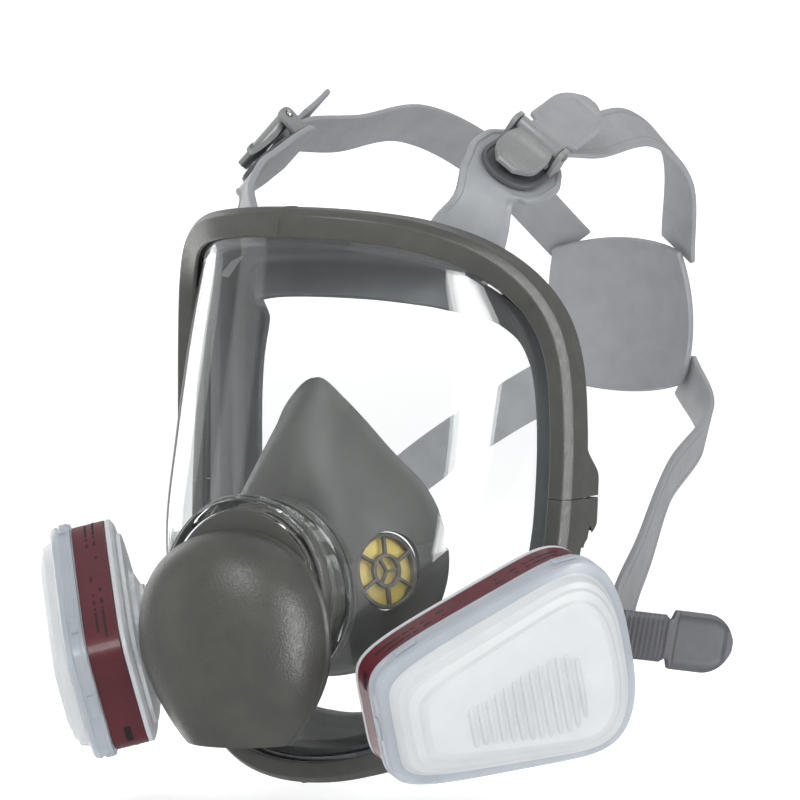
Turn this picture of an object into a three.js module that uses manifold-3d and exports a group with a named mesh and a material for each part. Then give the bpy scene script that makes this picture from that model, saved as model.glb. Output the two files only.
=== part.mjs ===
// Full face respirator: a panoramic lens in a two-part frame, a silicone face seal with four strap tabs,
// a central exhalation port with a nose cup behind it, two bayonet filter cartridges and a head harness.
// Millimetres. +X is the wearer's left, -Y is the way the wearer looks, +Z is up.
// The origin is the centre of the face opening.

import * as THREE from "three";
import { mergeVertices } from "three/addons/utils/BufferGeometryUtils.js";
import Module from "manifold-3d";

const wasm = await Module();
wasm.setup();

// ---------------------------------------------------------------- driving dimensions

const GAP = 0.3;                    // air between pieces that touch
const V = (x, y, z) => new THREE.Vector3(x, y, z);

// Frame outline, half of it, from the top centre down to the bottom centre, as (x, z).
const FRAME_OUTLINE = [
  [0, 112.5], [30, 111], [50, 107], [66, 99], [77, 88], [84.5, 74], [88.5, 57], [90, 28],
  [89.5, 2], [88, -20], [84, -45], [74, -68], [58, -86], [32, -101], [0, -106],
];
const FRAME_HALF_WIDTH = 90;
const FRAME_FORWARD = 56;           // how far the frame's centre stands in front of its sides, at the origin's height
const FRAME_DEPTH = 15;             // front to back
const FRAME_RADIAL_TOP = 11;        // band width at the top
const FRAME_RADIAL_SIDE = 8.5;      // band width at the sides and the chin
const FRAME_WALL = 2.4;
const FRAME_SPLIT_Z = 2;            // the upper and lower frame meet here

const LENS_THICKNESS = 2;
const LENS_PROFILE = [              // centre line of the lens's front face, as (z, y)
  [-97, -57], [-80, -73], [-55, -89], [-20, -91], [20, -83], [60, -75.5], [98, -69], [101, -68],
];
const LENS_FULLNESS = [             // how boxy each row of the lens is, from the bottom row to the top row
  [0, 1], [0.15, 0.75], [0.35, 0.58], [0.6, 0.66], [0.85, 0.85], [1, 1],
];

// Central port. Heights are forward of the origin, along -Y.
const PORT = { z: -31, hole: 32.2, collar: 35.8, collarBack: 76, front: 96.5 };
const ADAPTER = { outer: 31.6, bore: 27, back: 71.5, flange: 35.4, plate: 91.5, front: 96.2 };
const EXHALE = { z: -40, hole: 15.5, flap: 17.5, thickness: 1.2 };

const COVER = {
  rear: 96.8, depth: 33, halfWidth: 40, topHeight: 40.5, bottomHeight: 52, centreZ: -47, rise: 6,
  mouthZ: -86, wall: 2.4, roundness: 2.2,
};

const NOSE = {                      // rim that rests on the face, from the bridge of the nose to under the lip
  rim: [[0, -45, 47], [13, -43, 38], [27, -35, 20], [38, -27, 5], [43, -22, -12], [42, -20, -30],
    [35, -24, -48], [21, -34, -61], [0, -40, -66]],
  shoulder: 31, shoulderHeight: 65, neck: 25.5, neckHeight: 69, neckEnd: 77, thickness: 2.2,
};
const NOSE_VALVE = { x: 34.3, y: -50.3, z: -24, azimuth: 70, pitch: 8, radius: 14.4, thickness: 3.4 };

const SIDE_PORT = { x: 66.3, y: -45.3, z: -53.5, azimuth: 58, pitch: -14, roll: 18,
  bore: 10.5, radius: 13.5, depth: 13 };
const CARTRIDGE = {                 // heights are along the port's axis, from the port's seat on the lens
  length: 102, narrow: 50, wide: 88, squareFront: 6.5, squareBack: 3.1,
  neckStart: 3.5, neck: 20.5, step: 11, shellStart: 14.5, shellEnd: 34, bandStart: 16.5, bandEnd: 29.5,
  retainerStart: 30, retainerRim: 38, retainerTop: 45, wall: 1.6, socket: 17.2, throat: 10,
};

const HEAD = { y: 85, z: 55, rx: 80, ry: 105, rz: 101 };    // the space that the harness goes round
const STRAP = { width: 19.6, thickness: 2.4 };
const TAB_THICKNESS = 2.8;
const TAIL = { tab: 29, width: 20.6, thickness: 2.4 };
const PAD = { halfWidth: 36, low: 28, high: 92, thickness: 3 };

// ---------------------------------------------------------------- building blocks

const mix = (a, b, t) => a + (b - a) * t;
const radians = THREE.MathUtils.degToRad;
const smooth = (a, b, x) => THREE.MathUtils.smoothstep(x, a, b);

/** Value at x on the smooth curve through a list of (x, value) pairs with rising x. */
function alongTable(table, x) {
  const last = table.length - 1;
  if (x <= table[0][0]) return table[0][1];
  if (x >= table[last][0]) return table[last][1];
  const i = table.findIndex((row, k) => k < last && x <= table[k + 1][0]);
  const slope = (a, b) => (table[b][1] - table[a][1]) / (table[b][0] - table[a][0]);
  const step = table[i + 1][0] - table[i][0];
  const t = (x - table[i][0]) / step;
  const m0 = slope(Math.max(i - 1, 0), i + 1) * step;
  const m1 = slope(i, Math.min(i + 2, last)) * step;
  const t2 = t * t;
  const t3 = t2 * t;
  return (2 * t3 - 3 * t2 + 1) * table[i][1] + (t3 - 2 * t2 + t) * m0
    + (3 * t2 - 2 * t3) * table[i + 1][1] + (t3 - t2) * m1;
}

/** Welds a geometry to bare positions and drops the triangles that the weld flattens. */
function weld(geometry) {
  const bare = geometry.clone();
  for (const name of Object.keys(bare.attributes)) if (name !== "position") bare.deleteAttribute(name);
  const merged = mergeVertices(bare, 1e-3);
  const index = [];
  const source = merged.index.array;
  for (let i = 0; i < source.length; i += 3) {
    const [a, b, c] = [source[i], source[i + 1], source[i + 2]];
    if (a !== b && b !== c && a !== c) index.push(a, b, c);
  }
  merged.setIndex(index);
  return merged;
}

function toManifold(geometry) {
  const bare = weld(geometry);
  return new wasm.Manifold(new wasm.Mesh({
    numProp: 3,
    vertProperties: new Float32Array(bare.attributes.position.array),
    triVerts: new Uint32Array(bare.index.array),
  }));
}

function fromManifold(manifold) {
  const mesh = manifold.getMesh();
  const geometry = new THREE.BufferGeometry();
  geometry.setAttribute("position", new THREE.BufferAttribute(new Float32Array(mesh.vertProperties), 3));
  geometry.setIndex(new THREE.BufferAttribute(new Uint32Array(mesh.triVerts), 1));
  return geometry;
}

const subtract = (body, ...tools) => fromManifold(
  tools.reduce((left, tool) => left.subtract(toManifold(tool)), toManifold(body)));
const unite = (body, ...more) => fromManifold(
  more.reduce((left, piece) => left.add(toManifold(piece)), toManifold(body)));

/** Turns an indexed triangle list over shared points into a geometry. */
function fromTriangles(points, index) {
  const geometry = new THREE.BufferGeometry();
  geometry.setAttribute("position", new THREE.Float32BufferAttribute(points.flatMap((p) => [p.x, p.y, p.z]), 3));
  geometry.setIndex(index);
  return weld(geometry);
}

/** Signed volume, used to turn a body's faces outward. */
function faceOutward(geometry) {
  const p = geometry.attributes.position;
  const index = geometry.index.array;
  const [a, b, c] = [V(0, 0, 0), V(0, 0, 0), V(0, 0, 0)];
  let volume = 0;
  for (let i = 0; i < index.length; i += 3) {
    a.fromBufferAttribute(p, index[i]);
    b.fromBufferAttribute(p, index[i + 1]);
    c.fromBufferAttribute(p, index[i + 2]);
    volume += a.dot(b.cross(c));
  }
  if (volume < 0) {
    for (let i = 0; i < index.length; i += 3) [index[i + 1], index[i + 2]] = [index[i + 2], index[i + 1]];
  }
  return geometry;
}

/** Joins closed rings of points, one after another; the ends are capped, or joined for a full loop. */
function loft(rings, { loop = false, cap = "flat" } = {}) {
  const size = rings[0].length;
  const points = rings.flat();
  const index = [];
  const quad = (a, b, c, d) => index.push(a, b, c, a, c, d);
  const last = loop ? rings.length : rings.length - 1;
  for (let i = 0; i < last; i++) {
    const next = (i + 1) % rings.length;
    for (let j = 0; j < size; j++) {
      const k = (j + 1) % size;
      quad(i * size + j, i * size + k, next * size + k, next * size + j);
    }
  }
  if (!loop) {
    for (const [base, flip] of [[0, true], [(rings.length - 1) * size, false]]) {
      for (const [a, b, c] of capTriangles(points.slice(base, base + size), cap)) {
        index.push(...(flip ? [base + a, base + c, base + b] : [base + a, base + b, base + c]));
      }
    }
  }
  return faceOutward(fromTriangles(points, index));
}

/** Triangles over one ring: ear clipping for a flat ring, or a strip across for a thin curved one. */
function capTriangles(ring, kind) {
  const size = ring.length;
  if (kind === "strip") {
    const triangles = [];
    for (let i = 0; i < size / 2 - 1; i++) {
      triangles.push([i, i + 1, size - 2 - i], [i, size - 2 - i, size - 1 - i]);
    }
    return triangles;
  }
  const normal = V(0, 0, 0);
  for (let i = 0; i < size; i++) {
    normal.add(ring[i].clone().sub(ring[0]).cross(ring[(i + 1) % size].clone().sub(ring[0])));
  }
  normal.normalize();
  const side = ring[1].clone().sub(ring[0]).normalize();
  const up = normal.clone().cross(side);
  const flat = ring.map((p) => new THREE.Vector2(p.dot(side), p.dot(up)));
  return THREE.ShapeUtils.triangulateShape(flat, []);
}

/** A closed body between a front grid and a back grid, with optional loops of points round the rim. */
function thickSheet(front, back, rims = []) {
  const rows = front.length;
  const columns = front[0].length;
  const points = [...front.flat(), ...back.flat(), ...rims.flat()];
  const index = [];
  const layer = rows * columns;
  for (let i = 0; i < rows - 1; i++) {
    for (let j = 0; j < columns - 1; j++) {
      const [a, b, c, d] = [i * columns + j, i * columns + j + 1, (i + 1) * columns + j + 1, (i + 1) * columns + j];
      index.push(a, b, c, a, c, d, layer + a, layer + c, layer + b, layer + a, layer + d, layer + c);
    }
  }
  const edge = gridEdge(rows, columns);
  const loops = [edge, ...rims.map((rim, r) => rim.map((_, k) => 2 * layer + r * edge.length + k)),
    edge.map((k) => k + layer)];
  for (let r = 0; r < loops.length - 1; r++) {
    for (let k = 0; k < edge.length; k++) {
      const n = (k + 1) % edge.length;
      const [a, b, c, d] = [loops[r][k], loops[r + 1][k], loops[r + 1][n], loops[r][n]];
      index.push(a, b, c, a, c, d);
    }
  }
  return faceOutward(fromTriangles(points, index));
}

/** Indices of the points round the edge of a grid, in order. */
function gridEdge(rows, columns) {
  const edge = [];
  for (let j = 0; j < columns - 1; j++) edge.push(j);
  for (let i = 0; i < rows - 1; i++) edge.push(i * columns + columns - 1);
  for (let j = columns - 1; j > 0; j--) edge.push((rows - 1) * columns + j);
  for (let i = rows - 1; i > 0; i--) edge.push(i * columns);
  return edge;
}

/** The grid moved along its own surface normals; wrap joins its last column to its first. */
function offsetGrid(grid, distance, wrap = false) {
  const rows = grid.length;
  const columns = grid[0].length;
  const column = (j) => (wrap ? (j + columns) % columns : Math.min(Math.max(j, 0), columns - 1));
  return grid.map((row, i) => row.map((p, j) => {
    const down = grid[Math.min(i + 1, rows - 1)][j].clone().sub(grid[Math.max(i - 1, 0)][j]);
    const across = grid[i][column(j + 1)].clone().sub(grid[i][column(j - 1)]);
    return p.clone().addScaledVector(across.cross(down).normalize(), distance);
  }));
}

/** A tube-like ring or disc: a closed profile of (radius, height) turned about +Z, with a number of sides. */
function turned(profile, sides = 32) {
  return new THREE.LatheGeometry(profile.map(([r, h]) => new THREE.Vector2(r, h)), sides).rotateX(Math.PI / 2);
}

/** Ring with a rectangular section, standing on z = low. */
const ring = (inner, outer, low, high, sides = 32) => turned(
  [[inner, low], [outer, low], [outer, high], [inner, high], [inner, low]], sides);
const disc = (radius, low, high, sides = 32) => turned([[0, low], [radius, low], [radius, high], [0, high]], sides);
const block = (sx, sy, sz, x = 0, y = 0, z = 0) => new THREE.BoxGeometry(sx, sy, sz).translate(x, y, z);

/** Matrix that takes local +Z to `normal` and local +X as near as it can to `along`. */
function placement(origin, normal, along) {
  const z = normal.clone().normalize();
  const x = along.clone().addScaledVector(z, -along.dot(z)).normalize();
  return new THREE.Matrix4().makeBasis(x, z.clone().cross(x), z).setPosition(origin);
}
const placed = (geometry, matrix) => geometry.clone().applyMatrix4(matrix);

// ---------------------------------------------------------------- frame outline and lens surface

const outlineCurve = new THREE.CatmullRomCurve3([
  ...FRAME_OUTLINE.map(([x, z]) => V(x, 0, z)),
  ...FRAME_OUTLINE.slice(1, -1).reverse().map(([x, z]) => V(-x, 0, z)),
], true);
const wrap = (u) => ((u % 1) + 1) % 1;

/** Depth of the frame's middle at a point of its outline. */
const frameY = (x, z) => -2 - (FRAME_FORWARD + 0.055 * z) * Math.max(0, 1 - (x / FRAME_HALF_WIDTH) ** 2);
const bandWidth = (z) => mix(FRAME_RADIAL_SIDE, FRAME_RADIAL_TOP, smooth(50, 105, z));

/** Point of the frame: u runs round the outline from the top centre, `inward` is measured from the outer edge. */
function framePoint(u, inward, y) {
  const p = outlineCurve.getPointAt(wrap(u));
  const t = outlineCurve.getTangentAt(wrap(u));
  const at = V(p.x + t.z * inward, 0, p.z - t.x * inward);
  return V(at.x, frameY(p.x, p.z) + y, at.z);
}

/** The same, with the band's own width added to `beyond`. */
const insideBand = (u, beyond, y) => framePoint(
  u, bandWidth(outlineCurve.getPointAt(wrap(u)).z) + beyond, y);

/** Where the outline crosses a height on the +X side. */
function outlineAt(z) {
  let low = 0;
  let high = 0.5;
  for (let i = 0; i < 40; i++) {
    const middle = (low + high) / 2;
    if (outlineCurve.getPointAt(middle).z > z) low = middle;
    else high = middle;
  }
  return low;
}

const CORNER_TOP = outlineAt(88);
const CORNER_BOTTOM = outlineAt(-72);
const RIM_PLAY = 1.0;               // room that the lens and the seal have in the frame's channel
const LENS_EDGE_Y = -FRAME_DEPTH / 2 + FRAME_WALL + RIM_PLAY;   // front face of the lens's rim

/** One face of the lens, as rows from bottom to top; `back` moves it behind the front face. */
function lensGrid(rows, columns, back) {
  const edge = (u) => insideBand(u, 1.5 + back, LENS_EDGE_Y + back);
  const side = (v) => edge(mix(CORNER_BOTTOM, CORNER_TOP, v));
  const top = (s) => edge(s * CORNER_TOP);
  const bottom = (s) => edge(0.5 + s * (CORNER_BOTTOM - 0.5));
  const grid = [];
  for (let i = 0; i <= rows; i++) {
    const v = i / rows;
    const right = side(v);
    const fullness = alongTable(LENS_FULLNESS, v);
    const row = [];
    for (let j = 0; j <= columns; j++) {
      const s = Math.sin(Math.PI * (j / columns - 0.5));
      const [low, high] = [bottom(s), top(s)];
      const x = mix(low.x, high.x, v) + s * right.x - s * mix(side(0).x, side(1).x, v);
      const z = mix(low.z, high.z, v) + right.z - mix(side(0).z, side(1).z, v);
      const middleZ = mix(bottom(0).z, top(0).z, v) + right.z - mix(side(0).z, side(1).z, v);
      const crown = (1 - Math.min(1, Math.abs(x / right.x)) ** 2) ** fullness;
      const y = mix(right.y, alongTable(LENS_PROFILE, middleZ) + back, crown);
      const edgeY = (1 - v) ** 4 * (low.y - rowY(side(0), LENS_PROFILE, bottom(0).z, low.x, back))
        + v ** 4 * (high.y - rowY(side(1), LENS_PROFILE, top(0).z, high.x, back));
      row.push(V(x, y + edgeY, z));
    }
    grid.push(row);
  }
  return grid;
}

/** Depth that the top or bottom row of the lens would have without its correction to the frame's curve. */
function rowY(corner, profile, middleZ, x, back) {
  const crown = 1 - Math.min(1, Math.abs(x / corner.x)) ** 2;
  return mix(corner.y, alongTable(profile, middleZ) + back, crown);
}

/** Matrix of a side port: +Z points out of the lens along the port's axis, +X along the cartridge. */
function sidePortMatrix(side) {
  const azimuth = radians(SIDE_PORT.azimuth);
  const pitch = radians(SIDE_PORT.pitch);
  const roll = radians(SIDE_PORT.roll);
  const normal = V(side * Math.sin(azimuth) * Math.cos(pitch), -Math.cos(azimuth) * Math.cos(pitch), Math.sin(pitch));
  const along = V(side * Math.cos(azimuth) * Math.cos(roll), Math.sin(azimuth) * Math.cos(roll), Math.sin(roll));
  return placement(V(side * SIDE_PORT.x, SIDE_PORT.y, SIDE_PORT.z), normal, along);
}

/** Matrix of the central port: +Z points forward, out of the mask. */
const CENTRE = placement(V(0, 0, PORT.z), V(0, -1, 0), V(1, 0, 0));

function makeLens() {
  const rows = 13;
  const columns = 16;
  const front = lensGrid(rows, columns, 0);
  const back = lensGrid(rows, columns, LENS_THICKNESS);
  const edgeU = gridEdge(rows + 1, columns + 1).map((k) => {
    const [i, j] = [Math.floor(k / (columns + 1)), k % (columns + 1)];
    const s = Math.sin(Math.PI * (j / columns - 0.5));
    if (i === 0) return 0.5 + s * (CORNER_BOTTOM - 0.5);
    if (i === rows) return s * CORNER_TOP;
    return Math.sign(s) * mix(CORNER_BOTTOM, CORNER_TOP, i / rows);
  });
  const rimInset = FRAME_WALL + RIM_PLAY;
  const rims = [LENS_EDGE_Y, LENS_EDGE_Y + LENS_THICKNESS].map((y) => edgeU.map((u) => framePoint(u, rimInset, y)));
  const sheet = thickSheet(front, back, rims);
  const collar = placed(disc(PORT.collar, PORT.collarBack, PORT.front, 32), CENTRE);
  const hole = placed(disc(PORT.hole, 40, 120, 32), CENTRE);
  const bosses = [1, -1].map((side) => placed(disc(SIDE_PORT.radius + 4, -9.5, 0, 20), sidePortMatrix(side)));
  const bores = [1, -1].map((side) => placed(disc(SIDE_PORT.radius + GAP, -20, 14, 20), sidePortMatrix(side)));
  return subtract(unite(sheet, collar, ...bosses), hole, ...bores);
}

// ---------------------------------------------------------------- frame halves, screws and nuts

// Ears that reach back from the two halves at each side; a screw joins them. Outline as (z, reach back).
const EAR = {
  thickness: 8.6, root: 3, x: 89.5, screw: 1.9, screwOut: 4.3, screwBack: 3.9, head: 3.4,
  upper: [[2, 9], [9, 9], [22, 0]], lower: [[2, 9], [-8, 9], [-17, 0]], nutSeat: 10, headSeat: -7,
};
const earBack = (z) => frameY(EAR.x, z) + FRAME_DEPTH / 2;

/** One ear: flat with the frame's side wall outside, and tapering into the band away from the joint. */
function makeEar(upper, side) {
  const rows = upper ? EAR.upper : EAR.lower;
  const shift = upper ? 0.4 : -0.4;
  return loft(rows.map(([z, reach], i) => {
    const at = z + (i === 0 ? shift : 0);
    const outer = outlineCurve.getPointAt(outlineAt(at)).x - 0.25;
    const y = earBack(at);
    return [[outer, y - EAR.root], [outer, y + reach], [outer - 1.2, y + reach + 0.8 * Math.sign(reach)],
      [outer - EAR.thickness, y + reach + 0.8 * Math.sign(reach)], [outer - EAR.thickness, y - 0.4],
      [outer - 1.6, y - 0.4], [outer - 1.6, y - EAR.root]].map(([x, yy]) => V(side * x, yy, at));
  }));
}

/** Section of the frame's channel, as (inward, y), for a band of a given width. */
function channelSection(width) {
  const half = FRAME_DEPTH / 2;
  const lip = half - FRAME_WALL;
  return [
    [0, half], [0, -half + 4], [2.4, -half], [width, -half], [width, -lip],
    [FRAME_WALL, -lip], [FRAME_WALL, lip], [width, lip], [width, half],
  ];
}

function frameSweep(from, to, steps) {
  const rings = [];
  for (let i = 0; i <= steps; i++) {
    const u = mix(from, to, i / steps);
    const width = bandWidth(outlineCurve.getPointAt(wrap(u)).z);
    rings.push(channelSection(width).map(([inward, y]) => framePoint(u, inward, y)));
  }
  return loft(rings);
}

function makeFrameHalf(upper) {
  const splitU = outlineAt(FRAME_SPLIT_Z + (upper ? GAP / 2 : -GAP / 2));
  const band = upper ? frameSweep(-splitU, splitU, 30) : frameSweep(splitU, 1 - splitU, 26);
  const ears = [1, -1].map((side) => makeEar(upper, side));
  const seat = upper ? [EAR.nutSeat, 40] : [-40, EAR.headSeat];
  const holes = [1, -1].flatMap((side) => [disc(EAR.screw + GAP, -30, 30, 16), disc(EAR.head + GAP, ...seat, 16)]
    .map((hole) => placed(hole, screwMatrix(side))));
  return subtract(unite(band, ...ears), ...holes);
}

function screwMatrix(side) {
  return placement(V(side * (EAR.x - EAR.screwOut), earBack(FRAME_SPLIT_Z) + EAR.screwBack, 0), V(0, 0, 1), V(1, 0, 0));
}

/** Pan-head screw up through both ears from below, with a nut in a seat on top. */
function makeScrew(side) {
  const r = EAR.screw;
  const head = EAR.headSeat - GAP;
  const end = EAR.nutSeat + 4.2;
  const body = turned([[0, head - 2], [EAR.head - 0.5, head - 2], [EAR.head - 0.1, head - 1.4], [EAR.head - 0.1, head],
    [r, head], [r, end - 0.6], [r - 0.6, end], [0, end]], 16);
  const slot = block(0.8, 10, 1, 0, 0, head - 2);
  return placed(subtract(body, slot), screwMatrix(side));
}

function makeNut(side) {
  const hex = new THREE.CylinderGeometry(EAR.head, EAR.head, 2.8, 6).rotateX(Math.PI / 2)
    .translate(0, 0, EAR.nutSeat + GAP + 1.4);
  return placed(subtract(hex, disc(EAR.screw + GAP, 0, 30, 16)), screwMatrix(side));
}

// ---------------------------------------------------------------- face seal and its strap tabs

/** Section of the seal: a flange in the channel, a wall going back, and a lip that turns in to the face. */
function sealSection(width, reach, stretch) {
  const back = (y) => 5 + (y - 5) * stretch;
  return [
    [FRAME_WALL + RIM_PLAY, -0.8], [width + 2.4, -0.8], [width + 4.6, 3.4], [width + 5, back(12)],
    [width + 8, back(16)], [width + reach, back(12)], [width + reach + 1, back(14)], [width + 8.5, back(19)],
    [width + 2.6, back(15)], [width + 2.4, 8], [width + 2.4, 3.5], [FRAME_WALL + RIM_PLAY, 3.5],
  ];
}

/** Middle line of one strap tab and the directions of its outward face, for the +X side. */
const TABS = {
  top: {
    from: [49, -27, 91], via: [54, -15, 109], buckle: [55, 18, 130],
    out: [0.647, -0.226, 0.728], along: [0, 0.955, 0.296], toe: 25, nose: 12.4, base: 30,
  },
  low: {
    from: [72, 0, -48], via: [76, 4, -50], buckle: [81, 25, -52],
    out: [0.95, -0.28, -0.1], along: [0.06, 1, 0.1], toe: 12.5, nose: 6, base: 22,
  },
};
const mirrored = (p, side) => V(side * p[0], p[1], p[2]);

/** A flat band along a path, with its outward side facing `out(point)`; rounded corners are left to `width(t)`. */
function ribbon(path, steps, thickness, width, out, lift = 0) {
  const rings = [];
  for (let i = 0; i <= steps; i++) {
    const t = i / steps;
    const p = path.getPointAt(t);
    const along = path.getTangentAt(t);
    const normal = out(p, t);
    normal.addScaledVector(along, -normal.dot(along)).normalize();
    const across = normal.clone().cross(along);
    const half = width(t) / 2;
    const at = (s, h) => p.clone().addScaledVector(across, s).addScaledVector(normal, h + lift);
    rings.push([at(-half, 0), at(half, 0), at(half, thickness), at(-half, thickness)]);
  }
  return loft(rings);
}

/** Frame of a buckle: +X runs back along the strap, +Z points away from the head. */
function buckleMatrix(tab, side) {
  const at = mirrored(tab.buckle, side);
  return placement(at, mirrored(tab.out, side), mirrored(tab.along, side));
}

function makeTab(tab, side) {
  const matrix = buckleMatrix(tab, side);
  const local = (x, z) => V(x, 0, z).applyMatrix4(matrix);
  const out = V(0, 0, 0).setFromMatrixColumn(matrix, 2);
  const path = new THREE.CatmullRomCurve3([
    mirrored(tab.from, side), mirrored(tab.via, side), local(-tab.toe - 3, 0), local(1 - tab.toe, 0),
    local(-tab.toe / 2, 0), local(-2, 0), local(3, 0), local(8, 0)]);
  const width = (t) => mix(mix(tab.base, 23, smooth(0.15, 0.42, t)), 37, smooth(0.42, 0.74, t)) - 9 * smooth(0.84, 1, t);
  return ribbon(path, 12, TAB_THICKNESS, width, () => out.clone(), -TAB_THICKNESS);
}

function makeFaceSeal() {
  const rings = [];
  const steps = 48;
  for (let i = 0; i < steps; i++) {
    const u = i / steps;
    const p = outlineCurve.getPointAt(u);
    const stretch = 1 + 1.1 * (1 - (p.x / FRAME_HALF_WIDTH) ** 2);
    const reach = p.z > 0 ? mix(18, 23, smooth(30, 110, p.z)) : mix(18, 15, smooth(-30, -100, p.z));
    rings.push(sealSection(bandWidth(p.z), reach, stretch).map(([inward, y]) => framePoint(u, inward, y)));
  }
  const tabs = Object.values(TABS).flatMap((tab) => [1, -1].map((side) => makeTab(tab, side)));
  return unite(loft(rings, { loop: true }), ...tabs);
}

// ---------------------------------------------------------------- central port: adapter, valve and cover

function makeAdapter() {
  const { outer, bore, back, flange, plate, front } = ADAPTER;
  const shell = turned([[bore, back], [flange, back], [flange, back + 2.5], [outer, back + 2.5], [outer, front],
    [0, front], [0, plate], [bore, plate], [bore, back]], 28);
  const valve = [0, EXHALE.z - PORT.z];
  const hole = disc(EXHALE.hole, 80, 110, 28).translate(...valve, 0);
  const spokes = [0, 60, 120].map((angle) => block(2 * EXHALE.hole + 2, 2, 2.4)
    .rotateZ(radians(angle)).translate(...valve, front - 1.6));
  return placed(unite(subtract(shell, hole), ...spokes, disc(3.2, front - 2.8, front - 0.4, 12).translate(...valve, 0)),
    CENTRE);
}

const makeAdapterGasket = () => placed(
  ring(ADAPTER.outer + GAP, ADAPTER.flange, ADAPTER.back + 2.5 + GAP, PORT.collarBack - GAP, 28), CENTRE);

const makeExhaleFlap = () => placed(
  disc(EXHALE.flap, ADAPTER.front + GAP, ADAPTER.front + GAP + EXHALE.thickness, 28)
    .translate(0, EXHALE.z - PORT.z, 0), CENTRE);

/** Rings of the cover's dome; `inset` shrinks it all round and `from` starts it further back. */
function coverDome(inset, from, bottomHeight) {
  const rings = [];
  const depth = COVER.depth - inset;
  const n = COVER.roundness;
  for (const d of [from, 0, 0.25, 0.45, 0.62, 0.77, 0.89, 0.97]) {
    const size = (1 - Math.max(d, 0) ** n) ** (1 / n);
    const centreZ = COVER.centreZ + COVER.rise * Math.max(d, 0);
    const row = [];
    for (let j = 0; j < 28; j++) {
      const a = (j / 28) * 2 * Math.PI;
      const [c, s] = [Math.cos(a), Math.sin(a)];
      const height = (s > 0 ? COVER.topHeight : bottomHeight) - inset;
      row.push(V((COVER.halfWidth - inset) * size * Math.sign(c) * Math.abs(c) ** (2 / n),
        -COVER.rear - depth * d, centreZ + height * size * Math.sign(s) * Math.abs(s) ** (2 / n)));
    }
    rings.push(row);
  }
  return loft(from === 0 ? rings.slice(1) : rings);
}

function makeExhalationCover() {
  const outer = coverDome(0, 0, COVER.bottomHeight);
  const inner = coverDome(COVER.wall, -0.1, COVER.bottomHeight);
  const below = block(200, 200, 100, 0, -COVER.rear, COVER.mouthZ - 50);
  return subtract(outer, inner, below);
}

// ---------------------------------------------------------------- nose cup and its inhalation valves

/** Rows of the nose cup from the face rim to the neck, each a closed ring. */
function noseRows() {
  const half = NOSE.rim.map(([x, y, z]) => V(x, y, z));
  const rim = new THREE.CatmullRomCurve3([
    ...half, ...half.slice(1, -1).reverse().map((p) => V(-p.x, p.y, p.z))], true);
  const columns = 28;
  const circle = (angle, radius, height) => V(
    radius * Math.sin(angle), -height, PORT.z + radius * Math.cos(angle));
  const rows = [0, 1, 2, 3, 4, 5, 6, 7].map(() => []);
  for (let j = 0; j < columns; j++) {
    const edge = rim.getPoint(j / columns);
    const angle = (j / columns) * 2 * Math.PI;
    const shoulder = circle(angle, NOSE.shoulder, NOSE.shoulderHeight);
    for (let i = 0; i < 6; i++) {
      const t = i / 5;
      const p = edge.clone().lerp(shoulder, t);
      const swell = 5 * Math.sin(Math.PI * t);
      p.y -= swell;
      p.x *= 1 + 0.05 * Math.sin(Math.PI * t);
      rows[i].push(p);
    }
    rows[6].push(circle(angle, NOSE.neck, NOSE.neckHeight));
    rows[7].push(circle(angle, NOSE.neck, NOSE.neckEnd));
  }
  return rows;
}

function makeNoseCup() {
  const outer = noseRows();
  const inner = offsetGrid(outer, NOSE.thickness, true);
  for (const p of inner[7]) p.y = -NOSE.neckEnd;
  const body = loft([...outer, ...inner.slice().reverse()], { loop: true });
  const holes = [1, -1].map((side) => placed(disc(NOSE_VALVE.radius + GAP, -9, 9, 20), noseValveMatrix(side)));
  return subtract(body, ...holes);
}

/** Frame of a nose-cup valve: +Z points out of the cup. */
function noseValveMatrix(side) {
  const a = radians(NOSE_VALVE.azimuth);
  const b = radians(NOSE_VALVE.pitch);
  const normal = V(side * Math.sin(a) * Math.cos(b), -Math.cos(a) * Math.cos(b), Math.sin(b));
  return placement(V(side * NOSE_VALVE.x, NOSE_VALVE.y, NOSE_VALVE.z), normal, V(0, 0, 1));
}

/** A spoked seat: an outer ring, a smaller ring and three bars across. */
function spokedSeat(outer, inner, middle, thickness) {
  const bars = [0, 60, 120].map((angle) => block(2 * inner + 1, 1.5, thickness * 0.6)
    .rotateZ(radians(angle)).translate(0, 0, thickness * 0.1));
  return unite(ring(inner, outer, -thickness / 2, thickness / 2, 20),
    ring(middle - 0.7, middle + 0.7, -thickness * 0.2, thickness * 0.4, 12), ...bars);
}

const makeNoseSeat = (side) => placed(
  spokedSeat(NOSE_VALVE.radius, 12.8, 5.8, NOSE_VALVE.thickness), noseValveMatrix(side));
const makeNoseFlap = (side) => placed(
  disc(NOSE_VALVE.radius - 0.8, -NOSE_VALVE.thickness / 2 - GAP - 1, -NOSE_VALVE.thickness / 2 - GAP, 20),
  noseValveMatrix(side));

// ---------------------------------------------------------------- bayonet ports and filter cartridges

const LUG_ANGLES = [0, 120, 240];
const BAYONET = { flange: 17, lug: 16.6, lugLow: 5.6, lugHigh: 7.2, tabHigh: 5.2, tabInner: 14, tabArc: 38 };

/** A block-like arc of a ring, centred on an angle. */
function arc(inner, outer, low, high, degrees, at) {
  const rings = [];
  for (let i = 0; i <= 3; i++) {
    const a = radians(at + degrees * (i / 3 - 0.5));
    const point = (r, h) => V(r * Math.cos(a), r * Math.sin(a), h);
    rings.push([point(inner, low), point(outer, low), point(outer, high), point(inner, high)]);
  }
  return loft(rings);
}

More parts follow.
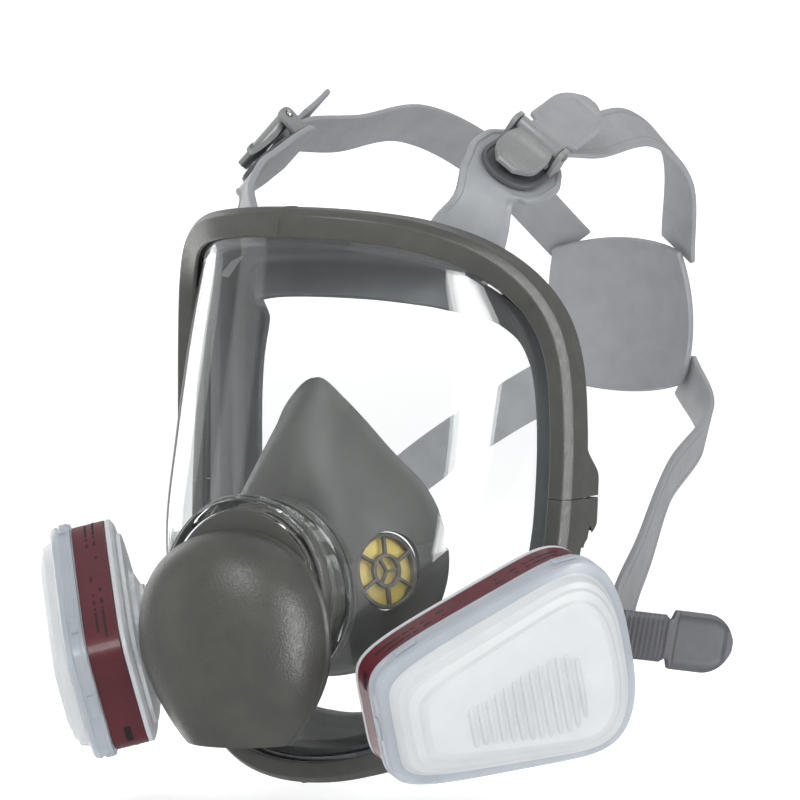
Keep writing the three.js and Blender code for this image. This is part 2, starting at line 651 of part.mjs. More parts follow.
function makeBayonetPort(side) {
  const { bore, radius } = SIDE_PORT;
  const tube = turned([[bore, -SIDE_PORT.depth], [radius, -SIDE_PORT.depth], [radius, 1.8], [BAYONET.flange, 1.8], [BAYONET.flange, 3.2],
    [radius, 3.2], [radius, BAYONET.lugHigh], [bore, BAYONET.lugHigh],
    [bore, -SIDE_PORT.depth]], 20);
  const lugs = LUG_ANGLES.map((a) => arc(radius - 0.8, BAYONET.lug, BAYONET.lugLow, BAYONET.lugHigh,
    BAYONET.tabArc, a));
  const bars = [0, 60, 120].map((a) => block(2 * bore + 1, 1.6, 1.6, 0, 0, 1 - SIDE_PORT.depth).rotateZ(radians(a)));
  return placed(unite(tube, ...lugs, ...bars), sidePortMatrix(side));
}

const makePortGasket = (side) => placed(
  ring(SIDE_PORT.radius + GAP, BAYONET.flange, GAP, 1.5, 20), sidePortMatrix(side));
const makeInhaleFlap = (side) => placed(disc(SIDE_PORT.bore + 1.8, -SIDE_PORT.depth - GAP - 1, -SIDE_PORT.depth - GAP, 20), sidePortMatrix(side));

/** One ring of a cartridge: the rounded trapezoid shrunk by `inset`, or a circle when `round` is 1. */
function cartridgeRing(height, inset, round = 0, radius = 0) {
  const points = [];
  for (let j = 0; j < 28; j++) {
    const a = (j / 28) * 2 * Math.PI;
    const [c, s] = [Math.cos(a), Math.sin(a)];
    const n = mix(mix(CARTRIDGE.squareFront, CARTRIDGE.squareBack, (c + 1) / 2), 2, round);
    const x = Math.sign(c) * Math.abs(c) ** (2 / n);
    const halfX = CARTRIDGE.length / 2 - inset;
    const halfY = mix(CARTRIDGE.narrow, CARTRIDGE.wide, (x + 1) / 2) / 2 - inset;
    const y = Math.sign(s) * Math.abs(s) ** (2 / n);
    points.push(V(mix(halfX * x, radius * x, round), mix(halfY * y, radius * y, round), height));
  }
  return points;
}

/** A body lofted through (height, inset) levels of the cartridge's outline. */
const cartridgeLoft = (...levels) => loft(levels.map((level) => cartridgeRing(...level)));
const BODY_INSET = 2.4;             // the shell's side wall, inside the band

function makeCartridgeShell(side) {
  const c = CARTRIDGE;
  const outer = cartridgeLoft([c.neckStart, 0, 1, c.neck], [7, 0, 1, c.neck + 0.6], [c.step, 17, 0.55, c.neck + 6],
    [c.step + 0.5, 7], [13, 6.2], [13.3, 2.6], [c.shellStart, 0.8], [c.bandStart - GAP, 0.8],
    [c.bandStart - GAP + 0.1, BODY_INSET], [c.shellEnd, BODY_INSET]);
  const hollow = cartridgeLoft([c.shellStart, BODY_INSET + c.wall], [c.shellEnd + 1, BODY_INSET + c.wall]);
  const socket = disc(c.socket, c.neckStart - 1, 9, 24);
  const throat = disc(c.throat, 8, c.shellStart + 1, 16);
  const tabs = LUG_ANGLES.map((a) => arc(BAYONET.tabInner, c.socket + 0.6, c.neckStart + 0.1, BAYONET.tabHigh,
    BAYONET.tabArc, a));
  return placed(unite(subtract(outer, hollow, socket, throat), ...tabs), sidePortMatrix(side));
}

function makeCartridgeBand(side) {
  const c = CARTRIDGE;
  const outer = cartridgeLoft([c.bandStart, 0.8], [c.bandEnd, 0.8]);
  const inner = cartridgeLoft([c.bandStart - 1, BODY_INSET - GAP], [c.bandEnd + 1, BODY_INSET - GAP]);
  return placed(subtract(outer, inner), sidePortMatrix(side));
}

function makeCarbonBed(side) {
  const inset = BODY_INSET + CARTRIDGE.wall + GAP;
  return placed(cartridgeLoft([CARTRIDGE.shellStart + GAP + 0.1, inset], [CARTRIDGE.shellEnd - 0.6, inset]),
    sidePortMatrix(side));
}

function makePrefilter(side) {
  const c = CARTRIDGE;
  return placed(cartridgeLoft([c.shellEnd + GAP, 4.5], [c.retainerRim + 0.4, 4.5], [c.retainerTop - 2, 11]),
    sidePortMatrix(side));
}

const GRILLE = { slots: 7, pitch: 5.6, slot: 2.8, length: 34 };

function makeRetainer(side) {
  const c = CARTRIDGE;
  const outer = cartridgeLoft([c.retainerStart, -0.8], [c.retainerStart + 5, -0.8], [c.retainerRim, 0.6],
    [c.retainerRim + 0.8, 4], [c.retainerTop - 1.2, 7.5], [c.retainerTop, 9.5]);
  const inner = cartridgeLoft([c.retainerStart - 1, 1.2], [c.retainerStart + 5, 1.2], [c.retainerRim - 0.6, 2.2],
    [c.retainerRim + 0.6, 4.2], [c.retainerTop - 1.5, 10.3]);
  const slots = [];
  for (let i = 0; i < GRILLE.slots; i++) {
    const x = (i - (GRILLE.slots - 1) / 2) * GRILLE.pitch + 4;
    slots.push(block(GRILLE.slot, GRILLE.length + i - 4, 12, x, 0, c.retainerTop));
  }
  return placed(subtract(outer, inner, ...slots), sidePortMatrix(side));
}

// ---------------------------------------------------------------- head harness

const BUCKLE = { half: 12.4, base: 1.8, cheek: 1.9, pinHeight: 9.2, pin: 1.4, hub: 3, pinX: 2 };

function makeBuckleFrame(tab, side) {
  const { half, base, cheek, pinHeight, pin, pinX } = BUCKLE;
  const nose = tab.nose - tab.toe;
  const plate = unite(block(4 - nose, 2 * half, base, (4 + nose) / 2, 0, base / 2 + GAP),
    disc(half, GAP, base + GAP, 24).scale(tab.nose / half, 1, 1).translate(nose, 0, 0));
  const cheeks = [1, -1].map((s) => block(8.4, cheek, pinHeight + 3, pinX - 1, s * (half - cheek / 2),
    (pinHeight + 3) / 2 + GAP));
  const hole = new THREE.CylinderGeometry(pin + GAP, pin + GAP, 60, 14).translate(pinX, 0, pinHeight);
  return placed(subtract(unite(plate, ...cheeks), hole), buckleMatrix(tab, side));
}

function makeBucklePin(tab, side) {
  const pin = new THREE.CylinderGeometry(BUCKLE.pin, BUCKLE.pin, 2 * BUCKLE.half + 1.6, 12);
  return placed(pin.translate(BUCKLE.pinX, 0, BUCKLE.pinHeight), buckleMatrix(tab, side));
}

/** Buckle lever: a hub round the pin and a dished paddle reaching forward over the tab. */
function makeBuckleLever(tab, side) {
  const { half, cheek, pinHeight, pin, hub, pinX } = BUCKLE;
  const width = 2 * (half - cheek - 0.5);
  const barrel = new THREE.CylinderGeometry(hub, hub, width, 18).translate(pinX, 0, pinHeight);
  const rings = [];
  for (let i = 0; i <= 8; i++) {
    const t = i / 8;
    const x = pinX - 1 - 21 * t;
    const z = pinHeight - 0.6 - 4.6 * Math.sin(Math.PI * t * 0.62) + 1.6 * t;
    const w = (width / 2) * Math.sqrt(1 - 0.75 * smooth(0.55, 1, t));
    rings.push([V(x, -w, z - 1.1), V(x, w, z - 1.1), V(x, w, z + 1.1), V(x, -w, z + 1.1)]);
  }
  const bore = new THREE.CylinderGeometry(pin + 0.05, pin + 0.05, 60, 12).translate(pinX, 0, pinHeight);
  return placed(subtract(unite(barrel, loft(rings)), bore), buckleMatrix(tab, side));
}

/** Outward direction of the head at a point; straps lie flat against it. */
function awayFromHead(p, upright = 1) {
  return V(p.x / HEAD.rx ** 2, (p.y - HEAD.y) / HEAD.ry ** 2, (upright * (p.z - HEAD.z)) / HEAD.rz ** 2).normalize();
}

/** The point moved to a height above the head's surface, straight out from the head's centre. */
function onHead([x, y, z], lift) {
  const d = V(x, y - HEAD.y, z - HEAD.z);
  const size = Math.hypot(d.x / HEAD.rx, d.y / HEAD.ry, d.z / HEAD.rz);
  return d.multiplyScalar(1 / size).addScaledVector(d.clone().normalize(), lift).add(V(0, HEAD.y, HEAD.z));
}

// Routes of the straps from buckle to back pad, for the +X side; those on the head follow its surface.
const STRAP_HEIGHT = BUCKLE.base + 3 * GAP;
const ROUTES = {
  top: { head: [[51, 64, 130], [48, 106, 132], [40, 148, 116], [24, 184, 86]], upright: 1 },
  low: { free: [[79, 50, -42], [68, 84, -25], [57, 122, -2]], head: [[45, 165, 20], [26, 186, 36]], upright: 0.25 },
};

function makeStrap(name, side) {
  const tab = TABS[name];
  const route = ROUTES[name];
  const matrix = buckleMatrix(tab, side);
  const local = (x, z) => V(x, 0, z).applyMatrix4(matrix);
  const start = V(0, 0, 0).setFromMatrixColumn(matrix, 2);
  const path = new THREE.CatmullRomCurve3([
    local(-3, STRAP_HEIGHT), local(5, STRAP_HEIGHT), local(11, STRAP_HEIGHT),
    ...(route.free ?? []).map((p) => mirrored(p, side)),
    ...route.head.map(([x, y, z]) => onHead([side * x, y, z], PAD.thickness + 3))]);
  const out = (p, t) => start.clone().lerp(awayFromHead(p, route.upright), smooth(0.06, 0.3, t));
  return ribbon(path, 20, STRAP.thickness, () => STRAP.width, out);
}

/** How a tail leaves its buckle: its rise from the strap, and its turn in the strap's plane. */
const TAIL_LAY = { top: { ribbed: 4, splay: 0.03, yaw: 0 }, low: { ribbed: 22, splay: 0.12, yaw: -0.22 } };

/** Pull tail of a strap: a ribbed stretch and a rounded grip tab. */
function makeStrapTail(name, side) {
  const matrix = buckleMatrix(TABS[name], side);
  const low = STRAP_HEIGHT + STRAP.thickness + GAP;
  const { ribbed, splay, yaw } = TAIL_LAY[name];
  const length = ribbed + TAIL.tab;
  const rings = [];
  for (let i = 0; i <= 16; i++) {
    const t = i / 16;
    const s = length * (1 - (1 - t) ** 1.15);
    const fromTab = s - ribbed;
    const end = Math.max(0, s - (length - TAIL.width * 0.62)) / (TAIL.width * 0.62);
    const half = (TAIL.width / 2) * (fromTab > 0 ? 1.12 : 0.9) * Math.sqrt(1 - Math.min(end, 0.985) ** 2);
    const z = low + s * splay + 3 * (s / length) ** 2;
    rings.push([V(s, -half, z), V(s, half, z), V(s, half, z + TAIL.thickness), V(s, -half, z + TAIL.thickness)]);
  }
  return placed(loft(rings).rotateZ(side * yaw).translate(BUCKLE.pinX + 6, 0, 0), matrix);
}

function makeHarnessPad() {
  const size = 6;
  const layer = (lift) => Array.from({ length: size + 1 }, (_, i) => Array.from({ length: size + 1 }, (_, j) => {
    const [a, b] = [(i / size) * 2 - 1, (j / size) * 2 - 1];
    const z = mix(PAD.low, PAD.high, (a * Math.sqrt(1 - 0.18 * b * b) + 1) / 2);
    return onHead([PAD.halfWidth * b * Math.sqrt(1 - 0.18 * a * a), 190, z], lift);
  }));
  return thickSheet(layer(PAD.thickness + 1), layer(1));
}

// ---------------------------------------------------------------- assembly

const material = (color, roughness, metalness = 0, opacity = 1) => new THREE.MeshStandardMaterial({
  color, roughness, metalness, opacity, transparent: opacity < 1 });
const FINISH = {
  clear: material(0xf2f6f8, 0.06, 0, 0.3),
  darkPlastic: material(0x4e4e4a, 0.55),
  cupRubber: material(0x55554f, 0.5),
  sealRubber: material(0x9aa0a4, 0.6),
  blackRubber: material(0x1c1c1c, 0.7),
  yellowRubber: material(0xd6c878, 0.55),
  whiteHousing: material(0xc9cdd0, 0.45),
  frosted: material(0xe4e8ea, 0.35, 0, 0.85),
  felt: material(0xf4f4f2, 0.95),
  carbon: material(0x1a1a1a, 0.95),
  maroon: material(0x6b2530, 0.55),
  steel: material(0xb8b8b4, 0.3, 1),
  strap: material(0x9b9a9f, 0.7),
  darkStrap: material(0x55555a, 0.65),
};

const respirator = new THREE.Group();
function add(name, geometry, finish) {
  const mesh = new THREE.Mesh(geometry, finish);
  mesh.name = name;
  respirator.add(mesh);
}

add("lens", makeLens(), FINISH.clear);
add("upper_frame", makeFrameHalf(true), FINISH.darkPlastic);
add("lower_frame", makeFrameHalf(false), FINISH.darkPlastic);
add("face_seal", makeFaceSeal(), FINISH.sealRubber);
add("center_adapter", makeAdapter(), FINISH.darkPlastic);
add("adapter_gasket", makeAdapterGasket(), FINISH.blackRubber);
add("exhalation_valve_flap", makeExhaleFlap(), FINISH.yellowRubber);
add("exhalation_cover", makeExhalationCover(), FINISH.darkPlastic);
add("nose_cup", makeNoseCup(), FINISH.cupRubber);
add("harness_pad", makeHarnessPad(), FINISH.strap);

for (const [hand, side] of [["left", 1], ["right", -1]]) {
  add(`frame_screw_${hand}`, makeScrew(side), FINISH.steel);
  add(`frame_nut_${hand}`, makeNut(side), FINISH.steel);
  add(`nose_cup_valve_seat_${hand}`, makeNoseSeat(side), FINISH.cupRubber);
  add(`nose_cup_valve_flap_${hand}`, makeNoseFlap(side), FINISH.yellowRubber);
  add(`bayonet_port_${hand}`, makeBayonetPort(side), FINISH.darkPlastic);
  add(`port_gasket_${hand}`, makePortGasket(side), FINISH.blackRubber);
  add(`inhalation_valve_flap_${hand}`, makeInhaleFlap(side), FINISH.yellowRubber);
  add(`cartridge_shell_${hand}`, makeCartridgeShell(side), FINISH.whiteHousing);
  add(`cartridge_band_${hand}`, makeCartridgeBand(side), FINISH.maroon);
  add(`carbon_bed_${hand}`, makeCarbonBed(side), FINISH.carbon);
  add(`prefilter_pad_${hand}`, makePrefilter(side), FINISH.felt);
  add(`filter_retainer_${hand}`, makeRetainer(side), FINISH.frosted);
  for (const [name, tab] of Object.entries(TABS)) {
    add(`${name}_buckle_frame_${hand}`, makeBuckleFrame(tab, side), FINISH.darkPlastic);
    add(`${name}_buckle_pin_${hand}`, makeBucklePin(tab, side), FINISH.steel);
    add(`${name}_buckle_lever_${hand}`, makeBuckleLever(tab, side), FINISH.strap);
    add(`${name}_strap_${hand}`, makeStrap(name, side), FINISH.strap);
    add(`${name}_strap_tail_${hand}`, makeStrapTail(name, side), FINISH.darkStrap);
  }
}

export default respirator;
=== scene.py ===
"""Looks of a full face respirator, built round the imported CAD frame.

Lengths in the functions below are millimetres, in the CAD's own frame; meshes are written in metres.
+X is the wearer's left, -Y is the way the wearer looks, +Z is up.
"""

import math

import bmesh
import bpy
import numpy as np
from mathutils import Matrix, Vector


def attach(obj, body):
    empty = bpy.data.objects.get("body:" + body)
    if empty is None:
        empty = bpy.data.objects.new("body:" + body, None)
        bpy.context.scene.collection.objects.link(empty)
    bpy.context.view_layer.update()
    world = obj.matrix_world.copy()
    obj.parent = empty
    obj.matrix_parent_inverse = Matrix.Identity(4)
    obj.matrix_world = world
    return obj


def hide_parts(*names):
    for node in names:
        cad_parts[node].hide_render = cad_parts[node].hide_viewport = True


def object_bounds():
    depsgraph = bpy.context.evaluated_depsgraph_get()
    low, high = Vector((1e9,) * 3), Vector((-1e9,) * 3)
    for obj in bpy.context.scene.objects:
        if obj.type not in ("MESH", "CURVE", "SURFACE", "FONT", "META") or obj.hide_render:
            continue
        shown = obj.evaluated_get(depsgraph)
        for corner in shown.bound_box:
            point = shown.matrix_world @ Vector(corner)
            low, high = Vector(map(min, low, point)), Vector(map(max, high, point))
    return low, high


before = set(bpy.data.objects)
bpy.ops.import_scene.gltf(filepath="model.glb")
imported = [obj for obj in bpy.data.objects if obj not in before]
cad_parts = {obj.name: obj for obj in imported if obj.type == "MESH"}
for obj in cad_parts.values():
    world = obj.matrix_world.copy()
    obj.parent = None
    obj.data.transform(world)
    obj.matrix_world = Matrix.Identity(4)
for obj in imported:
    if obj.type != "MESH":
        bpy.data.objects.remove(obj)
cad_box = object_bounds()

MM = 0.001
GAP = 0.3
TAU = 2 * math.pi
HANDS = (("left", 1), ("right", -1))
PATH_STEPS = 48                     # points that a Path holds between two of its control points
CUT_SCALE = 100                     # booleans run on meshes this much larger, far above their tolerance


# ---------------------------------------------------------------- numbers and curves

def mix(a, b, t):
    return a + (b - a) * t


def smooth(a, b, x):
    t = min(1.0, max(0.0, (x - a) / (b - a)))
    return t * t * (3 - 2 * t)


def unit(v):
    v = np.asarray(v, float)
    return v / np.linalg.norm(v)


def signed_power(v, n):
    return math.copysign(abs(v) ** n, v)


def along_table(table, x):
    """Value at x on the smooth curve through (x, value) pairs with rising x."""
    if x <= table[0][0]:
        return table[0][1]
    if x >= table[-1][0]:
        return table[-1][1]
    i = next(k for k in range(len(table) - 1) if x <= table[k + 1][0])
    last = len(table) - 1

    def slope(a, b):
        return (table[b][1] - table[a][1]) / (table[b][0] - table[a][0])

    step = table[i + 1][0] - table[i][0]
    t = (x - table[i][0]) / step
    m0 = slope(max(i - 1, 0), i + 1) * step
    m1 = slope(i, min(i + 2, last)) * step
    t2, t3 = t * t, t * t * t
    return ((2 * t3 - 3 * t2 + 1) * table[i][1] + (t3 - 2 * t2 + t) * m0
            + (3 * t2 - 2 * t3) * table[i + 1][1] + (t3 - t2) * m1)


class Path:
    """A centripetal curve through points, read by share of its length."""

    def __init__(self, points, closed=False):
        p = [np.asarray(q, float) for q in points]
        n = len(p)
        rows = []
        for i in range(n if closed else n - 1):
            p1, p2 = p[i], p[(i + 1) % n]
            p0 = p[(i - 1) % n] if closed or i else 2 * p1 - p2
            p3 = p[(i + 2) % n] if closed or i + 2 < n else 2 * p2 - p1
            d0, d1, d2 = (math.sqrt(np.linalg.norm(b - a)) for a, b in ((p0, p1), (p1, p2), (p2, p3)))
            m1 = ((p1 - p0) / d0 - (p2 - p0) / (d0 + d1) + (p2 - p1) / d1) * d1
            m2 = ((p2 - p1) / d1 - (p3 - p1) / (d1 + d2) + (p3 - p2) / d2) * d1
            for k in range(PATH_STEPS):
                t = k / PATH_STEPS
                t2, t3 = t * t, t * t * t
                rows.append((2 * t3 - 3 * t2 + 1) * p1 + (t3 - 2 * t2 + t) * m1
                            + (3 * t2 - 2 * t3) * p2 + (t3 - t2) * m2)
        rows.append(p[0] if closed else p[-1])
        self.points = np.array(rows)
        self.closed = closed
        steps = np.linalg.norm(np.diff(self.points, axis=0), axis=1)
        self.length = steps.sum()
        self.share = np.concatenate([[0], np.cumsum(steps)]) / self.length

    def at(self, u):
        u = u % 1.0 if self.closed else min(1.0, max(0.0, u))
        return np.array([np.interp(u, self.share, self.points[:, k]) for k in range(3)])

    def tangent(self, u, step=0.002):
        if self.closed:
            return unit(self.at(u + step) - self.at(u - step))
        return unit(self.at(min(1, u + step)) - self.at(max(0, u - step)))


# ---------------------------------------------------------------- mesh building

def loft(rings, loop=False, caps=True):
    """Vertices and faces over closed rings; ends are capped unless the rings form a loop."""
    size = len(rings[0])
    count = len(rings)
    verts = [tuple(p) for ring in rings for p in ring]
    faces = []
    for i in range(count if loop else count - 1):
        n = (i + 1) % count
        for j in range(size):
            k = (j + 1) % size
            faces.append((i * size + j, i * size + k, n * size + k, n * size + j))
    if caps and not loop:
        faces.append(tuple(range(size - 1, -1, -1)))
        faces.append(tuple(range((count - 1) * size, count * size)))
    return verts, faces


def thick_sheet(front, back, rims=()):
    """A closed body between two grids, with optional loops of points round the rim."""
    rows, columns = len(front), len(front[0])
    layer = rows * columns
    verts = [tuple(p) for grid in (front, back) for row in grid for p in row]
    verts += [tuple(p) for rim in rims for p in rim]
    faces = []
    for i in range(rows - 1):
        for j in range(columns - 1):
            a, b = i * columns + j, i * columns + j + 1
            c, d = b + columns, a + columns
            faces.append((a, b, c, d))
            faces.append((layer + d, layer + c, layer + b, layer + a))
    edge = grid_edge(rows, columns)
    loops = [edge] + [[2 * layer + r * len(edge) + k for k in range(len(edge))] for r in range(len(rims))]
    loops.append([k + layer for k in edge])
    for first, second in zip(loops, loops[1:]):
        for k in range(len(edge)):
            n = (k + 1) % len(edge)
            faces.append((first[k], second[k], second[n], first[n]))
    return verts, faces


def grid_edge(rows, columns):
    return (list(range(columns - 1)) + [i * columns + columns - 1 for i in range(rows - 1)]
            + [(rows - 1) * columns + j for j in range(columns - 1, 0, -1)]
            + [i * columns for i in range(rows - 1, 0, -1)])


def turned(profile, sides=64, closed=False):
    """A profile of (radius, height) turned about +Z; a radius of 0 closes it to a point."""
    rings = [[(r * math.cos(TAU * j / sides), r * math.sin(TAU * j / sides), h) for j in range(sides)]
             for r, h in profile]
    return loft(rings, loop=closed, caps=not closed)


def rounded(points, radius, steps=4, closed=True, keep=()):
    """Replaces the corners of a flat outline with arcs; indices in keep stay sharp."""
    out = []
    n = len(points)
    for i in range(n):
        p = np.asarray(points[i], float)
        a = np.asarray(points[i - 1], float)
        b = np.asarray(points[(i + 1) % n], float)
        if i in keep or (not closed and i in (0, n - 1)):
            out.append(tuple(p))
            continue
        to_a, to_b = a - p, b - p
        la, lb = np.linalg.norm(to_a), np.linalg.norm(to_b)
        to_a, to_b = to_a / la, to_b / lb
        turn = math.acos(max(-1, min(1, float(to_a @ to_b))))
        r = radius[i] if hasattr(radius, "__len__") else radius
        back = min(r / max(math.tan(turn / 2), 1e-3), la * 0.45, lb * 0.45)
        start, end = p + to_a * back, p + to_b * back
        for k in range(steps + 1):
            t = k / steps
            out.append(tuple((1 - t) ** 2 * start + 2 * t * (1 - t) * p + t * t * end))
    return out


def placement(origin, normal, along):
    """Matrix that takes local +Z to normal and local +X as near as it can to along."""
    z = unit(normal)
    x = unit(np.asarray(along, float) - z * float(np.dot(along, z)))
    y = np.cross(z, x)
    m = np.eye(4)
    m[:3, 0], m[:3, 1], m[:3, 2], m[:3, 3] = x, y, z, origin
    return m


def heading(azimuth, elevation, side=1):
    """Unit vector at an angle from straight ahead toward one side, and up, both in degrees."""
    a, e = math.radians(azimuth), math.radians(elevation)
    return np.array([side * math.sin(a) * math.cos(e), -math.cos(a) * math.cos(e), math.sin(e)])


def placed(part, matrix):
    verts, faces = part
    v = np.array(verts, float) @ matrix[:3, :3].T + matrix[:3, 3]
    return [tuple(p) for p in v], faces


def moved(part, x=0.0, y=0.0, z=0.0):
    m = np.eye(4)
    m[:3, 3] = x, y, z
    return placed(part, m)


def turned_about_z(part, angle):
    m = np.eye(4)
    c, s = math.cos(angle), math.sin(angle)
    m[0, :2], m[1, :2] = (c, -s), (s, c)
    return placed(part, m)


def joined(*parts):
    verts, faces = [], []
    for v, f in parts:
        base = len(verts)
        verts.extend(v)
        faces.extend(tuple(k + base for k in face) for face in f)
    return verts, faces


def block(sx, sy, sz, x=0.0, y=0.0, z=0.0, bevel=0.3):
    """A box with bevelled edges, as a lofted stack of rounded rectangles."""
    b = min(bevel, sx / 3, sy / 3, sz / 3)

    def level(shrink, height):
        hx, hy = sx / 2 - shrink, sy / 2 - shrink
        corners = [(-hx, -hy), (hx, -hy), (hx, hy), (-hx, hy)]
        return [(px + x, py + y, height + z) for px, py in rounded(corners, b, 2)]

    steps = ((b, 0), (b * 0.3, b * 0.3), (0, b))
    lower = [level(shrink, -sz / 2 + up) for shrink, up in steps]
    upper = [level(shrink, sz / 2 - up) for shrink, up in reversed(steps)]
    return loft(lower + upper)


def mesh_of(name, part, scale=1):
    """Mesh in metres, times a scale, from vertices in millimetres."""
    verts, faces = part
    mesh = bpy.data.meshes.new(name)
    mesh.from_pydata([(x * MM * scale, y * MM * scale, z * MM * scale) for x, y, z in verts], [], faces)
    return mesh


def new_object(name, data):
    obj = bpy.data.objects.new(name, data)
    bpy.context.scene.collection.objects.link(obj)
    return obj


def make_object(name, part, finish, body, replaces=(), sharp=32):
    """A piece from vertices in millimetres, riding on a body."""
    return make_piece(name, mesh_of(name, part), finish, body, replaces, sharp)


def make_piece(name, mesh, finish, body, replaces=(), sharp=32):
    """A piece from a mesh in metres; its slot holds its finish's material."""
    bm = bmesh.new()
    bm.from_mesh(mesh)
    bmesh.ops.remove_doubles(bm, verts=bm.verts, dist=1e-6)
    bmesh.ops.dissolve_degenerate(bm, edges=bm.edges, dist=1e-7)
    bmesh.ops.recalc_face_normals(bm, faces=bm.faces)
    bm.to_mesh(mesh)
    bm.free()
    obj = new_object(name, mesh)
    mesh.polygons.foreach_set("use_smooth", [True] * len(mesh.polygons))
    mesh.set_sharp_from_angle(angle=math.radians(sharp))
    mesh.update()
    mesh.materials.append(FINISH[finish])
    if replaces:
        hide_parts(*replaces)
    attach(obj, body)
    return obj


def cut_mesh(part, cutters):
    """The part with the cutters taken off, or added where they come as ("UNION", cutter), in metres."""
    def temporary(p):
        mesh = mesh_of("temporary", p, CUT_SCALE)
        bm = bmesh.new()
        bm.from_mesh(mesh)
        bmesh.ops.remove_doubles(bm, verts=bm.verts, dist=1e-5)
        bmesh.ops.recalc_face_normals(bm, faces=bm.faces)
        bm.to_mesh(mesh)
        bm.free()
        return new_object("temporary", mesh)

    base = temporary(part)
    tools = []
    for cutter in cutters:
        how, p = cutter if isinstance(cutter[0], str) else ("DIFFERENCE", cutter)
        tool = temporary(p)
        tools.append(tool)
        mod = base.modifiers.new("cut", "BOOLEAN")
        mod.operation = how
        mod.solver = "EXACT"
        mod.object = tool
    graph = bpy.context.evaluated_depsgraph_get()
    mesh = bpy.data.meshes.new_from_object(base.evaluated_get(graph))
    mesh.transform(Matrix.Scale(1 / CUT_SCALE, 4))
    for obj in [base, *tools]:
        old = obj.data
        bpy.data.objects.remove(obj)
        bpy.data.meshes.remove(old)
    return mesh


# ---------------------------------------------------------------- finishes

def linear(*channels):
    """A colour given as 0-255 display values, in the linear values that shaders take."""
    out = []
    for v in channels:
        v /= 255
        out.append(v / 12.92 if v <= 0.04045 else ((v + 0.055) / 1.055) ** 2.4)
    return (*out, 1.0)


class Nodes:
    """Short hand for building one material's node tree."""

    def __init__(self, name):
        self.material = bpy.data.materials.new(name)
        self.material.use_nodes = True
        self.tree = self.material.node_tree
        self.tree.nodes.clear()
        self.output = self.add("ShaderNodeOutputMaterial")
        self.shader = self.add("ShaderNodeBsdfPrincipled")
        self.link(self.shader.outputs["BSDF"], self.output.inputs["Surface"])
        self.place = self.add("ShaderNodeTexCoord").outputs["Object"]

    def add(self, kind, **values):
        node = self.tree.nodes.new(kind)
        for key, value in values.items():
            if hasattr(node, key):
                setattr(node, key, value)
            else:
                node.inputs[key].default_value = value
        return node

    def link(self, a, b):
        self.tree.links.new(a, b)

    def noise(self, size, detail=3.0, rough=0.55, stretch=None):
        """Noise whose features are about size millimetres across, from 0 to 1."""
        node = self.add("ShaderNodeTexNoise", Scale=1 / (size * MM), Detail=detail, Roughness=rough)
        place = self.place
        if stretch:
            mapping = self.add("ShaderNodeMapping", Scale=stretch)
            self.link(place, mapping.inputs["Vector"])
            place = mapping.outputs["Vector"]
        self.link(place, node.inputs["Vector"])
        return node.outputs["Fac"]

    def remap(self, value, low, high, to_low, to_high):
        node = self.add("ShaderNodeMapRange")
        node.clamp = True
        for key, v in (("From Min", low), ("From Max", high), ("To Min", to_low), ("To Max", to_high)):
            node.inputs[key].default_value = v
        self.link(value, node.inputs["Value"])
        return node.outputs["Result"]

    def blend(self, factor, first, second):
        node = self.add("ShaderNodeMix", data_type="RGBA")
        for slot, value in ((0, factor), (6, first), (7, second)):
            if hasattr(value, "links"):
                self.link(value, node.inputs[slot])
            else:
                node.inputs[slot].default_value = value
        return node.outputs[2]

    def bump(self, height, strength, depth, under=None):
        node = self.add("ShaderNodeBump", Strength=strength, Distance=depth * MM)
        self.link(height, node.inputs["Height"])
        if under:
            self.link(under, node.inputs["Normal"])
        return node.outputs["Normal"]

    def set(self, **sockets):
        for key, value in sockets.items():
            self.shader.inputs[key.replace("_", " ")].default_value = value


def moulded(name, colour, shade_to, roughness, grain=0.7, grain_depth=0.02, mottle=9.0, waves=0.0, coat=0.0):
    """Moulded plastic or rubber: a mottled colour, a fine grain, and a roughness that varies a little."""
    n = Nodes(name)
    patch = n.noise(mottle, 4)
    base = n.blend(n.remap(patch, 0.3, 0.7, 0, 1), linear(*colour), linear(*shade_to))
    n.link(base, n.shader.inputs["Base Color"])
    uneven = n.remap(n.noise(grain * 3), 0.3, 0.7, roughness - 0.07, roughness + 0.07)
    n.link(uneven, n.shader.inputs["Roughness"])
    normal = n.bump(n.noise(grain, 2), 0.6, grain_depth)
    if waves:
        normal = n.bump(n.noise(26, 1), 0.5, waves, normal)
    n.link(normal, n.shader.inputs["Normal"])
    n.set(Coat_Weight=coat)
    return n


def see_through(name, tint, roughness, ior):
    """Clear plastic that lets the lamps' light pass straight through, so it casts no dark shadow."""
    n = Nodes(name)
    n.set(Base_Color=linear(*tint), Transmission_Weight=1.0, Roughness=roughness, IOR=ior)
    n.link(n.bump(n.noise(38, 1), 0.35, 0.012), n.shader.inputs["Normal"])
    passing = n.add("ShaderNodeBsdfTransparent")
    passing.inputs["Color"].default_value = linear(*tint)
    by_ray = n.add("ShaderNodeMixShader")
    n.link(n.add("ShaderNodeLightPath").outputs["Is Shadow Ray"], by_ray.inputs[0])
    n.link(n.shader.outputs["BSDF"], by_ray.inputs[1])
    n.link(passing.outputs["BSDF"], by_ray.inputs[2])
    n.link(by_ray.outputs["Shader"], n.output.inputs["Surface"])
    return n


